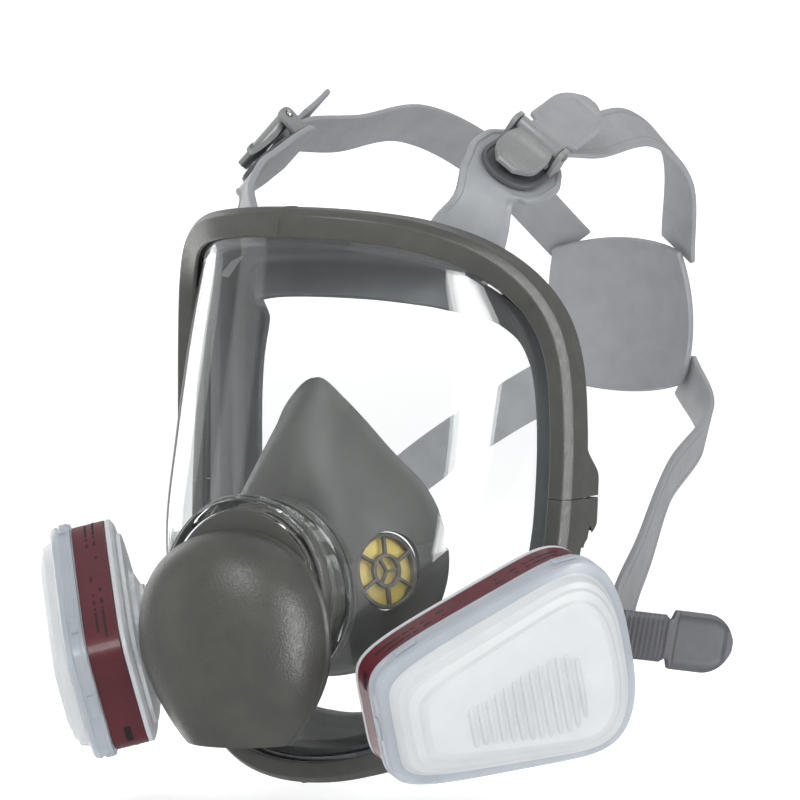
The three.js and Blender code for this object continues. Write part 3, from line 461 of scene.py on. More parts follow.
def frosted(name, colour, roughness, opacity):
    """Milky plastic: part of the light goes straight through and the rest glows in it."""
    n = Nodes(name)
    cloud = n.noise(14, 3)
    n.link(n.blend(n.remap(cloud, 0.3, 0.7, 0, 1), linear(*colour), linear(*(c - 7 for c in colour))),
           n.shader.inputs["Base Color"])
    n.set(Roughness=roughness, Coat_Weight=0.25, Coat_Roughness=0.12)
    n.link(n.bump(n.noise(0.5, 2), 0.4, 0.012), n.shader.inputs["Normal"])
    glow = n.add("ShaderNodeBsdfTranslucent")
    glow.inputs["Color"].default_value = linear(*colour)
    inner = n.add("ShaderNodeMixShader")
    inner.inputs[0].default_value = 0.3
    n.link(n.shader.outputs["BSDF"], inner.inputs[1])
    n.link(glow.outputs["BSDF"], inner.inputs[2])
    clear = n.add("ShaderNodeBsdfTransparent")
    outer = n.add("ShaderNodeMixShader")
    outer.inputs[0].default_value = opacity
    n.link(clear.outputs["BSDF"], outer.inputs[1])
    n.link(inner.outputs["Shader"], outer.inputs[2])
    n.link(outer.outputs["Shader"], n.output.inputs["Surface"])
    return n


def metal(name, colour, roughness):
    """Turned metal with fine streaks along its length."""
    n = Nodes(name)
    streak = n.noise(1.2, 4, stretch=(1.0, 1.0, 8.0))
    n.link(n.blend(n.remap(streak, 0.3, 0.7, 0, 1), linear(*colour), linear(*(c - 24 for c in colour))),
           n.shader.inputs["Base Color"])
    n.link(n.remap(streak, 0.3, 0.7, roughness - 0.08, roughness + 0.1), n.shader.inputs["Roughness"])
    n.link(n.bump(streak, 0.3, 0.01), n.shader.inputs["Normal"])
    n.set(Metallic=1.0)
    return n


def felt(name, colour):
    """Pressed filter felt: fine fibres, dimples and a soft sheen."""
    n = Nodes(name)
    fibre = n.noise(0.9, 6, 0.7, stretch=(1.0, 2.6, 1.0))
    n.link(n.blend(n.remap(fibre, 0.3, 0.7, 0, 1), linear(*colour), linear(*(c - 14 for c in colour))),
           n.shader.inputs["Base Color"])
    n.link(n.bump(fibre, 0.8, 0.12, n.bump(n.noise(4, 2), 0.5, 0.3)), n.shader.inputs["Normal"])
    n.set(Roughness=0.95, Sheen_Weight=0.4, Specular_IOR_Level=0.2)
    return n


def granular(name, colour):
    """Packed carbon grains."""
    n = Nodes(name)
    cell = n.add("ShaderNodeTexVoronoi", Scale=1 / (1.2 * MM))
    n.link(n.place, cell.inputs["Vector"])
    grey = n.add("ShaderNodeSeparateColor")
    n.link(cell.outputs["Color"], grey.inputs["Color"])
    n.link(n.blend(grey.outputs[0], linear(*colour), linear(*(c + 26 for c in colour))),
           n.shader.inputs["Base Color"])
    n.link(n.bump(cell.outputs["Distance"], 0.9, 0.5), n.shader.inputs["Normal"])
    n.set(Roughness=0.6)
    return n


FINISH = {
    "lens": see_through("clear_polycarbonate", (250, 252, 252), 0.015, 1.49),
    "frame": moulded("frame_plastic", (81, 81, 77), (74, 74, 71), 0.4, 0.8, 0.2),
    "cover": moulded("cover_plastic", (80, 80, 76), (71, 71, 68), 0.37, 0.8, 0.3, mottle=14),
    "cup": moulded("cup_rubber", (78, 78, 75), (70, 70, 68), 0.5, 0.5, 0.015, waves=0.1),
    # The seal and its tabs are one rubber in two copies: the seal's darker colour is painted shade, where it
    # lies in shade inside the lens, and the tabs' lighter colour is painted light from the lamps above
    "seal": moulded("seal_silicone", (92, 94, 96), (84, 86, 89), 0.5, 0.8, 0.012, waves=0.2),
    "tab": moulded("tab_silicone_painted_light", (157, 160, 163), (149, 152, 156), 0.48, 0.8, 0.014, waves=0.15),
    "black": moulded("black_rubber", (36, 36, 37), (28, 28, 29), 0.6, 0.5, 0.01),
    "red": moulded("red_rubber", (170, 52, 44), (150, 44, 38), 0.5, 0.5, 0.01),
    "valve": moulded("valve_rubber", (228, 203, 104), (216, 190, 92), 0.45, 0.8, 0.01),
    "steel": metal("steel", (196, 196, 192), 0.28),
    "housing": moulded("housing_plastic", (208, 211, 214), (198, 202, 206), 0.4, 0.6, 0.012, coat=0.15),
    "band": moulded("band_plastic", (98, 30, 40), (84, 25, 35), 0.42, 0.5, 0.012, mottle=20, coat=0.2),
    "mark": moulded("mark_ink", (36, 30, 34), (28, 24, 28), 0.6, 0.3, 0.005),
    "carbon": granular("carbon", (22, 22, 23)),
    "felt": felt("filter_felt", (244, 245, 243)),
    "retainer": frosted("retainer_plastic", (238, 241, 243), 0.34, 0.86),
    "clear": frosted("retainer_wall_plastic", (212, 219, 226), 0.24, 0.74),
    "buckle": moulded("buckle_plastic", (146, 147, 147), (136, 138, 139), 0.32, 0.6, 0.02),
    "strap": moulded("strap_rubber", (158, 160, 163), (149, 151, 155), 0.55, 0.7, 0.02),
    "tail": moulded("tail_rubber", (92, 93, 97), (84, 85, 89), 0.5, 0.7, 0.02),
}
FINISH = {key: n.material for key, n in FINISH.items()}


# ---------------------------------------------------------------- frame outline and lens surface

FRAME_OUTLINE = [
    (0, 112.5), (30, 111), (50, 107), (66, 99), (77, 88), (84.5, 74), (88.5, 57), (90, 28),
    (89.5, 2), (88, -20), (84, -45), (74, -68), (58, -86), (32, -101), (0, -106),
]
FRAME_DEPTH = 15.0
FRAME_WALL = 2.4
SPLIT_Z = 2.0
RIM_PLAY = 1.0
LENS_THICKNESS = 2.0
LENS_EDGE_Y = -FRAME_DEPTH / 2 + FRAME_WALL + RIM_PLAY
LENS_PROFILE = [
    (-97, -57), (-80, -73), (-55, -89), (-20, -91), (20, -83), (60, -75.5), (98, -69), (101, -68),
]
LENS_FULLNESS = [(0, 1), (0.15, 0.75), (0.35, 0.58), (0.6, 0.66), (0.85, 0.85), (1, 1)]
PORT = {"z": -31, "hole": 32.2, "collar": 35.8, "collar_back": 76, "front": 96.5}
SIDE_PORT = {"x": 66.3, "y": -45.3, "z": -53.5, "azimuth": 58, "pitch": -14, "roll": 18,
             "bore": 10.5, "radius": 13.5, "depth": 13}

outline = Path([(x, 0, z) for x, z in FRAME_OUTLINE] + [(-x, 0, z) for x, z in FRAME_OUTLINE[-2:0:-1]],
               closed=True)


def frame_y(x, z):
    return -2 - (56 + 0.055 * z) * max(0.0, 1 - (x / 90) ** 2)


def band_width(z):
    return mix(8.5, 11, smooth(50, 105, z))


def frame_point(u, inward, y):
    p, t = outline.at(u), outline.tangent(u)
    return np.array([p[0] + t[2] * inward, frame_y(p[0], p[2]) + y, p[2] - t[0] * inward])


def outline_at(z):
    """Share of the outline, down the +X side, where it is at height z."""
    low, high = 0.0, 0.5
    for _ in range(40):
        middle = (low + high) / 2
        if outline.at(middle)[2] > z:
            low = middle
        else:
            high = middle
    return low


CORNER_TOP, CORNER_BOTTOM = outline_at(88), outline_at(-72)


def lens_ends(columns):
    """Sideways places of the lens's columns, from -1 to 1, closer together at the sides."""
    return [math.sin(math.pi * (j / columns - 0.5)) for j in range(columns + 1)]


def lens_grid(rows, columns, back):
    """One face of the lens, from the bottom row to the top row."""
    def edge(u):
        return frame_point(u, band_width(outline.at(u)[2]) + 1.5 + back, LENS_EDGE_Y + back)

    def side(v):
        return edge(mix(CORNER_BOTTOM, CORNER_TOP, v))

    def row_y(corner, middle_z, x):
        crown = 1 - min(1, abs(x / corner[0])) ** 2
        return mix(corner[1], along_table(LENS_PROFILE, middle_z) + back, crown)

    low0, high0, side0, side1 = edge(0.5), edge(0), side(0), side(1)
    ends = lens_ends(columns)
    lows = [edge(0.5 + s * (CORNER_BOTTOM - 0.5)) for s in ends]
    highs = [edge(s * CORNER_TOP) for s in ends]
    grid = []
    for i in range(rows + 1):
        v = i / rows
        right = side(v)
        fullness = along_table(LENS_FULLNESS, v)
        rise = right[2] - mix(side0[2], side1[2], v)
        row = []
        for s, low, high in zip(ends, lows, highs):
            x = mix(low[0], high[0], v) + s * (right[0] - mix(side0[0], side1[0], v))
            z = mix(low[2], high[2], v) + rise
            middle_z = mix(low0[2], high0[2], v) + rise
            crown = (1 - min(1, abs(x / right[0])) ** 2) ** fullness
            y = mix(right[1], along_table(LENS_PROFILE, middle_z) + back, crown)
            y += ((1 - v) ** 4 * (low[1] - row_y(side0, low0[2], low[0]))
                  + v ** 4 * (high[1] - row_y(side1, high0[2], high[0])))
            row.append((x, y, z))
        grid.append(row)
    return grid


def side_port(side):
    """Place of one side port: its axis points out of the lens."""
    a, r = (math.radians(SIDE_PORT[k]) for k in ("azimuth", "roll"))
    normal = heading(SIDE_PORT["azimuth"], SIDE_PORT["pitch"], side)
    along = (side * math.cos(a) * math.cos(r), math.sin(a) * math.cos(r), math.sin(r))
    return placement((side * SIDE_PORT["x"], SIDE_PORT["y"], SIDE_PORT["z"]), normal, along)


CENTRE = placement((0, 0, PORT["z"]), (0, -1, 0), (1, 0, 0))


def disc(radius, low, high, sides=64, edge=0.0):
    """A round plate or rod about +Z, with rounded rims if edge is given."""
    if not edge:
        return turned([(radius, low), (radius, high)], sides)
    rim = ((edge, 0), (edge * 0.3, edge * 0.3), (0, edge))
    return turned([(radius - inward, low + up) for inward, up in rim]
                  + [(radius - inward, high - up) for inward, up in reversed(rim)], sides)


def ring(inner, outer, low, high, sides=64, edge=0.3):
    profile = rounded([(inner, low), (outer, low), (outer, high), (inner, high)], edge, 2)
    return turned(profile, sides, closed=True)


def make_lens():
    rows, columns = 56, 80
    front = lens_grid(rows, columns, 0)
    back = lens_grid(rows, columns, LENS_THICKNESS)
    ends = lens_ends(columns)
    us = []
    for k in grid_edge(rows + 1, columns + 1):
        i, j = divmod(k, columns + 1)
        if i == 0:
            us.append(0.5 + ends[j] * (CORNER_BOTTOM - 0.5))
        elif i == rows:
            us.append(ends[j] * CORNER_TOP)
        else:
            us.append(math.copysign(mix(CORNER_BOTTOM, CORNER_TOP, i / rows), ends[j]))
    inset = FRAME_WALL + RIM_PLAY
    rims = [[frame_point(u, inset, y) for u in us]
            for y in (LENS_EDGE_Y, LENS_EDGE_Y + LENS_THICKNESS)]
    sheet = thick_sheet(front, back, rims)
    collar = placed(disc(PORT["collar"], PORT["collar_back"], PORT["front"], 96, 0.6), CENTRE)
    lip = placed(ring(PORT["collar"] - 1, PORT["collar"] + 1.6, 91, 93.4, 96, 0.8), CENTRE)
    hole = placed(disc(PORT["hole"], 40, 120, 96), CENTRE)
    r = SIDE_PORT["radius"]
    bosses = [placed(disc(r + 4, -9.5, 0, 64, 0.6), side_port(s)) for _, s in HANDS]
    bores = [placed(disc(r + GAP, -20, 14, 64), side_port(s)) for _, s in HANDS]
    mesh = cut_mesh(sheet, [("UNION", collar), ("UNION", lip), *(("UNION", b) for b in bosses),
                            ("DIFFERENCE", hole), *(("DIFFERENCE", b) for b in bores)])
    make_piece("lens_clear", mesh, "lens", "mask", ["lens"], sharp=40)


make_lens()

# ---------------------------------------------------------------- frame halves, screws and nuts

# Ears that reach back from both halves at each side; a screw joins them. Outline as (z, reach back).
EAR = {"thickness": 8.6, "root": 3, "x": 89.5, "screw": 1.9, "screw_out": 4.3, "screw_back": 3.9,
       "head": 3.4, "nut_seat": 10, "head_seat": -7,
       "upper": [(2, 9), (9, 9), (22, 0)], "lower": [(2, 9), (-8, 9), (-17, 0)]}


def frame_section(width):
    """The channel as (inward, y), with a broad chamfer between its front and its side."""
    half = FRAME_DEPTH / 2
    lip = half - FRAME_WALL
    points = [(0, half), (0, -half + 4), (2.4, -half), (width, -half), (width, -lip),
              (FRAME_WALL, -lip), (FRAME_WALL, lip), (width, lip), (width, half)]
    return rounded(points, [0.9, 1.6, 1.3, 0.9, 0.7, 0.3, 0.3, 0.5, 0.9], 3)


def ear_back(z):
    return frame_y(EAR["x"], z) + FRAME_DEPTH / 2


def make_ear(upper, side):
    """One ear: level with the frame's side wall outside, and running out into the band."""
    (z0, reach), (z1, _), (z2, _) = EAR["upper" if upper else "lower"]
    up = 1 if upper else -1
    rings = []
    for share in (0, 0.02, 0.2, 0.34, 0.42, 0.5, 0.58, 0.66, 0.74, 0.82, 0.9, 0.96, 1):
        z = mix(z0 + up * 0.4, z2, share)
        depth = reach * (1 - smooth(up * z1, up * z2, up * z))
        outer = outline.at(outline_at(z))[0] - 0.05
        y = ear_back(z)
        inner = outer - EAR["thickness"]
        back = y + depth + min(0.8, depth)
        points = [(outer, y - EAR["root"]), (outer, y + depth), (outer - 1.2, back), (inner, back),
                  (inner, y - 0.4), (outer - 1.6, y - 0.4), (outer - 1.6, y - EAR["root"])]
        soft = rounded(points, [0, min(1.0, depth), 0.6, min(1.2, depth), 0.1, 0.1, 0.1], 3, keep=(0,))
        rings.append([(side * x, yy, z) for x, yy in soft])
    return loft(rings)


def make_frame_half(upper):
    u0 = outline_at(SPLIT_Z + (GAP / 2 if upper else -GAP / 2))
    start, end = (-u0, u0) if upper else (u0, 1 - u0)
    rings = []
    steps = 110
    for i in range(steps + 1):
        u = mix(start, end, i / steps)
        rings.append([frame_point(u, w, y) for w, y in frame_section(band_width(outline.at(u)[2]))])
    seat = (EAR["nut_seat"], 40) if upper else (-40, EAR["head_seat"])
    cuts = [("UNION", make_ear(upper, side)) for _, side in HANDS]
    for _, side in HANDS:
        axis = (side * (EAR["x"] - EAR["screw_out"]), ear_back(SPLIT_Z) + EAR["screw_back"], 0)
        at = placement(axis, (0, 0, 1), (1, 0, 0))
        cuts.append(("DIFFERENCE", placed(disc(EAR["screw"] + GAP, -30, 30, 32), at)))
        cuts.append(("DIFFERENCE", placed(disc(EAR["head"] + GAP, *seat, 32), at)))
    name = "upper" if upper else "lower"
    make_piece(f"{name}_frame_shell", cut_mesh(loft(rings), cuts), "frame", "mask",
               [f"{name}_frame"], sharp=40)


for upper in (True, False):
    make_frame_half(upper)


def centre_mark(name, u, y):
    """Small raised triangle that marks the frame's middle."""
    p = frame_point(u, 0, y)
    up = 1 if u == 0 else -1
    tip = [(p[0] - 2.2, p[1], p[2]), (p[0] + 2.2, p[1], p[2]), (p[0], p[1] - 6.5, p[2])]
    rings = [[(x, yy, p[2] - up * 0.6) for x, yy, _ in tip], [(x, yy, p[2] + up * 0.25) for x, yy, _ in tip],
             [(mix(x, p[0], 0.2), mix(yy, p[1] - 2.4, 0.2), p[2] + up * 0.45) for x, yy, _ in tip]]
    make_object(name, loft(rings), "frame", "mask", sharp=25)


centre_mark("frame_mark_top", 0, 3.2)
centre_mark("frame_mark_bottom", 0.5, 3.2)
make_object("frame_line_top", block(1.1, 1.1, 6.6, 0, frame_y(0, 112) - FRAME_DEPTH / 2 + 0.1, 105.9, 0.4),
            "frame", "mask")

# ---------------------------------------------------------------- face seal and its strap tabs

TABS = {
    "top": {"from": (49, -27, 91), "via": (54, -15, 109), "buckle": (55, 18, 130),
            "out": (0.647, -0.226, 0.728), "along": (0, 0.955, 0.296), "toe": 25, "nose": 12.4, "base": 30},
    "low": {"from": (72, 0, -48), "via": (76, 4, -50), "buckle": (81, 25, -52),
            "out": (0.95, -0.28, -0.1), "along": (0.06, 1, 0.1), "toe": 12.5, "nose": 6, "base": 22},
}
TAB_THICKNESS = 2.8


def seal_section(width, reach, stretch):
    """The skirt's section as (inward, y); stretch moves all but its root toward the face."""
    def back(y):
        return 5 + (y - 5) * stretch

    edge = FRAME_WALL + RIM_PLAY
    points = [(edge, -0.8), (width + 2.4, -0.8), (width + 4.6, 3.4), (width + 5, back(12)),
              (width + 8, back(16)), (width + reach, back(12)), (width + reach + 1, back(14)),
              (width + 8.5, back(19)), (width + 2.6, back(15)), (width + 2.4, 8),
              (width + 2.4, 3.5), (edge, 3.5)]
    return rounded(points, [0.4, 0.8, 2.5, 4, 5, 0.8, 0.8, 6, 6, 3, 0.8, 0.4], 4)


def make_face_seal():
    rings = []
    for i in range(220):
        u = i / 220
        x, _, z = outline.at(u)
        stretch = 1 + 1.1 * (1 - (x / 90) ** 2)
        reach = mix(18, 23, smooth(30, 110, z)) if z > 0 else mix(18, 15, smooth(-30, -100, z))
        rings.append([frame_point(u, w, y) for w, y in seal_section(band_width(z), reach, stretch)])
    # painted shade: the skirt takes the darker, shaded copy of the seal rubber
    make_object("face_seal_skirt", loft(rings, loop=True), "seal", "mask", ["face_seal"], sharp=60)


make_face_seal()


def mirrored(p, side):
    return np.array([side * p[0], p[1], p[2]], float)


def buckle_place(tab, side):
    return placement(mirrored(tab["buckle"], side), mirrored(tab["out"], side), mirrored(tab["along"], side))


def local_point(matrix, x, y, z):
    return matrix[:3, :3] @ np.array([x, y, z], float) + matrix[:3, 3]


def ribbon(path, steps, width, out, section, lift=0.0, ease=0.005):
    """A band along a path; section(t, half) is its outline as (across, up)."""
    rings = []
    for i in range(steps + 1):
        t = i / steps
        p, along = path.at(t), path.tangent(t, ease)
        normal = np.array(out(p, t), float)
        normal = unit(normal - along * float(normal @ along))
        across = np.cross(normal, along)
        half = width(t) / 2
        rings.append([p + across * s + normal * (h + lift) for s, h in section(t, half)])
    return loft(rings)


def make_tab(name, tab, hand, side):
    matrix = buckle_place(tab, side)
    out = matrix[:3, 2]
    toe = tab["toe"]
    path = Path([mirrored(tab["from"], side), mirrored(tab["via"], side),
                 *(local_point(matrix, x, 0, 0) for x in (-toe - 3, 1 - toe, -toe / 2, -2, 3, 8))])

    def width(t):
        waist = mix(tab["base"], 23, smooth(0.15, 0.42, t))
        wing = mix(waist, 37, smooth(0.42, 0.74, t)) - 9 * smooth(0.84, 1, t)
        return wing * (1 - 0.1 * smooth(0.97, 1, t))

    def section(t, half):
        """A thicker bead runs along both edges."""
        bead = 0.5 * smooth(0.02, 0.2, t)
        h = TAB_THICKNESS
        points = [(-half, 0), (half, 0), (half, h), (half - 2.2, h), (half - 3, h - bead),
                  (-half + 3, h - bead), (-half + 2.2, h), (-half, h)]
        return rounded(points, [0.9, 0.9, 0.9, 0.4, 0.4, 0.4, 0.4, 0.9], 3)

    part = ribbon(path, 60, width, lambda p, t: out, section, -TAB_THICKNESS, ease=0.09)
    # painted light: the tabs take the lighter, lit copy of the seal rubber
    make_object(f"{name}_tab_{hand}", part, "tab", "mask", sharp=50)


for tab_name, tab in TABS.items():
    for hand, side in HANDS:
        make_tab(tab_name, tab, hand, side)

# ---------------------------------------------------------------- central port: adapter, valve and cover

ADAPTER = {"outer": 31.6, "bore": 27, "back": 71.5, "flange": 35.4, "plate": 91.5, "front": 96.2}
EXHALE = {"z": -40, "hole": 15.5, "flap": 17.5}
COVER = {"rear": 96.8, "depth": 33, "half_width": 40, "top": 40.5, "bottom": 52, "centre_z": -47,
         "rise": 6, "mouth_z": -86, "wall": 2.4, "roundness": 2.2}


def ribbed_tube(inner, outer, low, high, count):
    """A tube whose outside has shallow rounded ribs round it."""
    profile = [(inner, low), (outer, low)]
    pitch = (high - low) / count
    for i in range(count):
        z = low + i * pitch
        profile += [(outer + up, z + pitch * share)
                    for up, share in ((0, 0.3), (0.9, 0.45), (0.9, 0.75), (0, 0.9))]
    profile += [(outer, high), (inner, high)]
    return turned(profile, 96, closed=True)


def make_adapter():
    a = ADAPTER
    dz = EXHALE["z"] - PORT["z"]
    rim = a["back"] + 2.5
    profile = [(0, a["plate"]), (a["bore"], a["plate"]), (a["bore"], a["back"]), (a["flange"], a["back"]),
               (a["flange"], rim), (a["outer"], rim), (a["outer"], a["front"]), (0, a["front"])]
    shell = turned(rounded(profile, [0, 0.4, 0.4, 0.6, 0.6, 0.3, 0.5, 0], 2, closed=False), 96)
    hole = moved(disc(EXHALE["hole"], 80, 110, 64), y=dz)
    mesh = cut_mesh(placed(shell, CENTRE), [placed(hole, CENTRE)])
    make_piece("adapter_body", mesh, "frame", "mask", ["center_adapter"])
    spokes = [moved(turned_about_z(block(2 * EXHALE["hole"] + 2, 2, 2.4, bevel=0.5), k * TAU / 6),
                    y=dz, z=a["front"] - 1.6) for k in range(3)]
    hub = moved(disc(3.2, a["front"] - 2.8, a["front"] - 0.4, 24, 0.5), y=dz)
    ribs = ribbed_tube(a["outer"] - 0.4, a["outer"] - 0.1, a["back"] + 4, a["front"] - 1, 4)
    make_object("adapter_spokes", placed(joined(*spokes, hub), CENTRE), "frame", "mask")
    make_object("adapter_ribs", placed(ribs, CENTRE), "frame", "mask")
    gasket = ring(a["outer"] + GAP, a["flange"], rim + GAP, PORT["collar_back"] - GAP, 96)
    make_object("adapter_seal_ring", placed(gasket, CENTRE), "black", "mask", ["adapter_gasket"])
    h = a["front"] + GAP
    r = EXHALE["flap"]
    flap = turned([(0, h + 1.6), (2.2, h + 1.6), (2.8, h + 1.2), (4, h + 1.1), (r - 2, h + 0.9),
                   (r - 0.6, h + 0.7), (r, h + 0.3), (r, h), (0, h)], 64)
    make_object("exhalation_flap", placed(moved(flap, y=dz), CENTRE), "valve",
                "exhalation_valve", ["exhalation_valve_flap"])


make_adapter()


def cover_dome(inset, start, lip=0.8):
    """The cover's dome from its rear edge to its nose; it narrows downward and has a raised rear rim."""
    c = COVER
    columns = 112
    rings = []
    depths = [start] + [math.sin(k / 26 * math.pi / 2) ** 1.15 for k in range(0 if start < 0 else 1, 27)]
    if lip:
        depths = sorted([*depths, 0.04, 0.052, 0.07, 0.09])
    for d in depths:
        d = min(d, 0.9995)
        size = math.sqrt(1 - max(d, 0) ** c["roundness"]) ** 0.95
        step = lip * smooth(0.035, 0.075, d) * (1 - 0.6 * smooth(0.3, 0.9, d))
        centre_z = c["centre_z"] + c["rise"] * max(d, 0)
        row = []
        for j in range(columns):
            cos, sin = math.cos(TAU * j / columns), math.sin(TAU * j / columns)
            n = mix(2.0, 2.15, smooth(-1, 1, sin))
            height = (c["top"] if sin > 0 else c["bottom"]) - inset - step
            wide = (c["half_width"] - inset - step) * (1 - 0.17 * smooth(-0.1, -0.95, sin))
            row.append((wide * size * signed_power(cos, 2 / n), -c["rear"] - (c["depth"] - inset) * d,
                        centre_z + height * size * signed_power(sin, 2 / n)))
        rings.append(row)
    return loft(rings)


def make_cover():
    c = COVER
    below = block(200, 200, 100, 0, -c["rear"], c["mouth_z"] - 50, 0.1)
    mesh = cut_mesh(cover_dome(0, 0.0), [cover_dome(c["wall"], -0.1, 0), below])
    make_piece("exhalation_dome", mesh, "cover", "exhalation_cover", ["exhalation_cover"], sharp=40)


make_cover()

# ---------------------------------------------------------------- nose cup and its inhalation valves

NOSE = {
    "rim": [(0, -45, 47), (13, -43, 38), (27, -35, 20), (38, -27, 5), (43, -22, -12), (42, -20, -30),
            (35, -24, -48), (21, -34, -61), (0, -40, -66)],
    "shoulder": 31, "shoulder_height": 65, "neck": 25.5, "neck_height": 69, "neck_end": 77, "thickness": 2.2,
}
NOSE_VALVE = {"x": 34.3, "y": -50.3, "z": -24, "azimuth": 70, "pitch": 8, "radius": 14.4, "thickness": 3.4}


def neck_point(radius, height, angle):
    return np.array([radius * math.sin(angle), -height, PORT["z"] + radius * math.cos(angle)])


def nose_rows(columns, steps):
    """Rows round the cup's outside, from its rim to the end of its neck."""
    half = [np.array(p, float) for p in NOSE["rim"]]
    rim = Path(half + [p * (-1, 1, 1) for p in half[-2:0:-1]], True)
    # the CAD reads the rim by its control points, so this does too
    n = len(half) * 2 - 2
    rows = [[] for _ in range(steps + 3)]
    for j in range(columns):
        share = (j / columns) * n
        i = min(int(share), n - 1)
        edge = rim.points[min(int(round(share * PATH_STEPS)), len(rim.points) - 1)]
        angle = TAU * j / columns
        shoulder = neck_point(NOSE["shoulder"], NOSE["shoulder_height"], angle)
        for k in range(steps + 1):
            t = k / steps
            p = mix(edge, shoulder, t)
            bulge = math.sin(math.pi * t)
            p = np.array([p[0] * (1 + 0.05 * bulge), p[1] - 5 * bulge, p[2]])
            rows[k].append(p)
        rows[steps + 1].append(neck_point(NOSE["neck"], NOSE["neck_height"], angle))
        rows[steps + 2].append(neck_point(NOSE["neck"], NOSE["neck_end"], angle))
    return rows


def offset_rows(rows, distance):
    """The closed rows moved along their own surface normals."""
    grid = np.array(rows)
    down = np.empty_like(grid)
    down[1:-1] = grid[2:] - grid[:-2]
    down[0], down[-1] = grid[1] - grid[0], grid[-1] - grid[-2]
    across = np.roll(grid, -1, axis=1) - np.roll(grid, 1, axis=1)
    normal = np.cross(across, down)
    normal /= np.linalg.norm(normal, axis=2, keepdims=True)
    return grid + normal * distance


def make_nose_cup():
    outer = np.array(nose_rows(112, 22))
    inner = offset_rows(outer, NOSE["thickness"])
    inner[-1][:, 1] = -NOSE["neck_end"]
    lip_out = offset_rows(outer, -0.7)
    lip = 0.5 * (outer[0] + inner[0]) + (outer[0] - outer[1]) * 0.5
    rings = [outer[0], *outer[1:], *inner[::-1], lip]
    rings[0] = mix(outer[0], lip_out[0], 0.9)
    part = loft([list(r) for r in rings], loop=True)
    bores = [placed(disc(NOSE_VALVE["radius"] + GAP, -9, 9, 64), nose_valve(s)) for _, s in HANDS]
    mesh = cut_mesh(part, bores)
    make_piece("nose_cup_shell", mesh, "cup", "mask", ["nose_cup"], sharp=45)


def nose_valve(side):
    normal = heading(NOSE_VALVE["azimuth"], NOSE_VALVE["pitch"], side)
    return placement((side * NOSE_VALVE["x"], NOSE_VALVE["y"], NOSE_VALVE["z"]), normal, (0, 0, 1))


def make_nose_valve(hand, side):
    r, t = NOSE_VALVE["radius"], NOSE_VALVE["thickness"]
    parts = [ring(12.8, r, -t / 2, t * 0.32, 72, 0.25), ring(5.1, 6.5, -t * 0.2, t * 0.4, 48, 0.25)]
    for k in range(6):
        parts.append(turned_about_z(block(6.8, 1.3, t * 0.5, 9.6, 0, t * 0.12, 0.25), k * TAU / 6))
    for k in range(3):
        parts.append(turned_about_z(block(5.6, 1.1, t * 0.5, 2.7, 0, t * 0.1, 0.25), k * TAU / 3 + TAU / 12))
    make_object(f"nose_valve_seat_{hand}", placed(joined(*parts), nose_valve(side)), "cup",
                "mask", [f"nose_cup_valve_seat_{hand}"])
    top = -t / 2 - GAP
    flap = turned([(0, top), (r - 1.4, top), (r - 0.9, top - 0.2), (r - 0.8, top - 0.6),
                   (r - 1.0, top - 0.9), (r - 1.6, top - 1), (0, top - 1)], 64)
    make_object(f"nose_valve_flap_{hand}", placed(flap, nose_valve(side)), "valve",
                f"nose_cup_valve_{hand}", [f"nose_cup_valve_flap_{hand}"])


make_nose_cup()
for hand, side in HANDS:
    make_nose_valve(hand, side)

# ---------------------------------------------------------------- bayonet ports and filter cartridges

BAYONET = {"flange": 17, "lug": 16.6, "low": 5.6, "high": 7.2,
           "tab_high": 5.2, "tab_inner": 14, "tab_arc": 38}
CART = {
    "length": 102, "narrow": 50, "wide": 88, "square_front": 6.5, "square_back": 3.1,
    "neck_start": 3.5, "neck": 20.5, "step": 11, "shell_start": 14.5, "shell_end": 34,
    "band_start": 16.5, "band_end": 29.5, "retainer_start": 30, "retainer_rim": 38, "retainer_top": 45,
    "wall": 1.6, "socket": 17.2, "throat": 10,
}
BODY_INSET = 2.4


def arc_bars(inner, outer, low, high, degrees, steps=10):
    """Three curved bars about +Z, each as many degrees long."""
    section = rounded([(inner, low), (outer, low), (outer, high), (inner, high)], 0.25, 2)
    half = math.radians(degrees / 2)
    bars = []
    for middle in (0, 120, 240):
        angles = [mix(math.radians(middle) - half, math.radians(middle) + half, i / steps)
                  for i in range(steps + 1)]
        bars.append(loft([[(r * math.cos(a), r * math.sin(a), h) for r, h in section] for a in angles]))
    return bars


def make_port(hand, side):
    bore, r, depth = SIDE_PORT["bore"], SIDE_PORT["radius"], SIDE_PORT["depth"]
    flange, high = BAYONET["flange"], BAYONET["high"]
    profile = rounded([(bore, -depth), (r, -depth), (r, 1.8), (flange, 1.8), (flange, 3.2), (r, 3.2),
                       (r, high), (bore, high)], 0.35, 2)
    parts = [turned(profile, 72, closed=True)]
    parts += arc_bars(r - 0.8, BAYONET["lug"], BAYONET["low"], high, BAYONET["tab_arc"])
    spoke = block(2 * bore + 1, 1.6, 1.6, 0, 0, 1 - depth, 0.4)
    parts += [turned_about_z(spoke, k * TAU / 6) for k in range(3)]
    matrix = side_port(side)
    make_object(f"port_{hand}", placed(joined(*parts), matrix), "frame", "mask", [f"bayonet_port_{hand}"])
    gasket = ring(r + GAP, flange, GAP, 1.5, 72, 0.5)
    make_object(f"port_seal_{hand}", placed(gasket, matrix), "red", "mask", [f"port_gasket_{hand}"])
    low = -depth - GAP
    flap = turned([(0, low), (bore + 1.2, low), (bore + 1.8, low - 0.3), (bore + 1.8, low - 0.7),
                   (bore + 1.2, low - 1), (0, low - 1)], 64)
    make_object(f"port_flap_{hand}", placed(flap, matrix), "valve",
                f"inhalation_valve_{hand}", [f"inhalation_valve_flap_{hand}"])


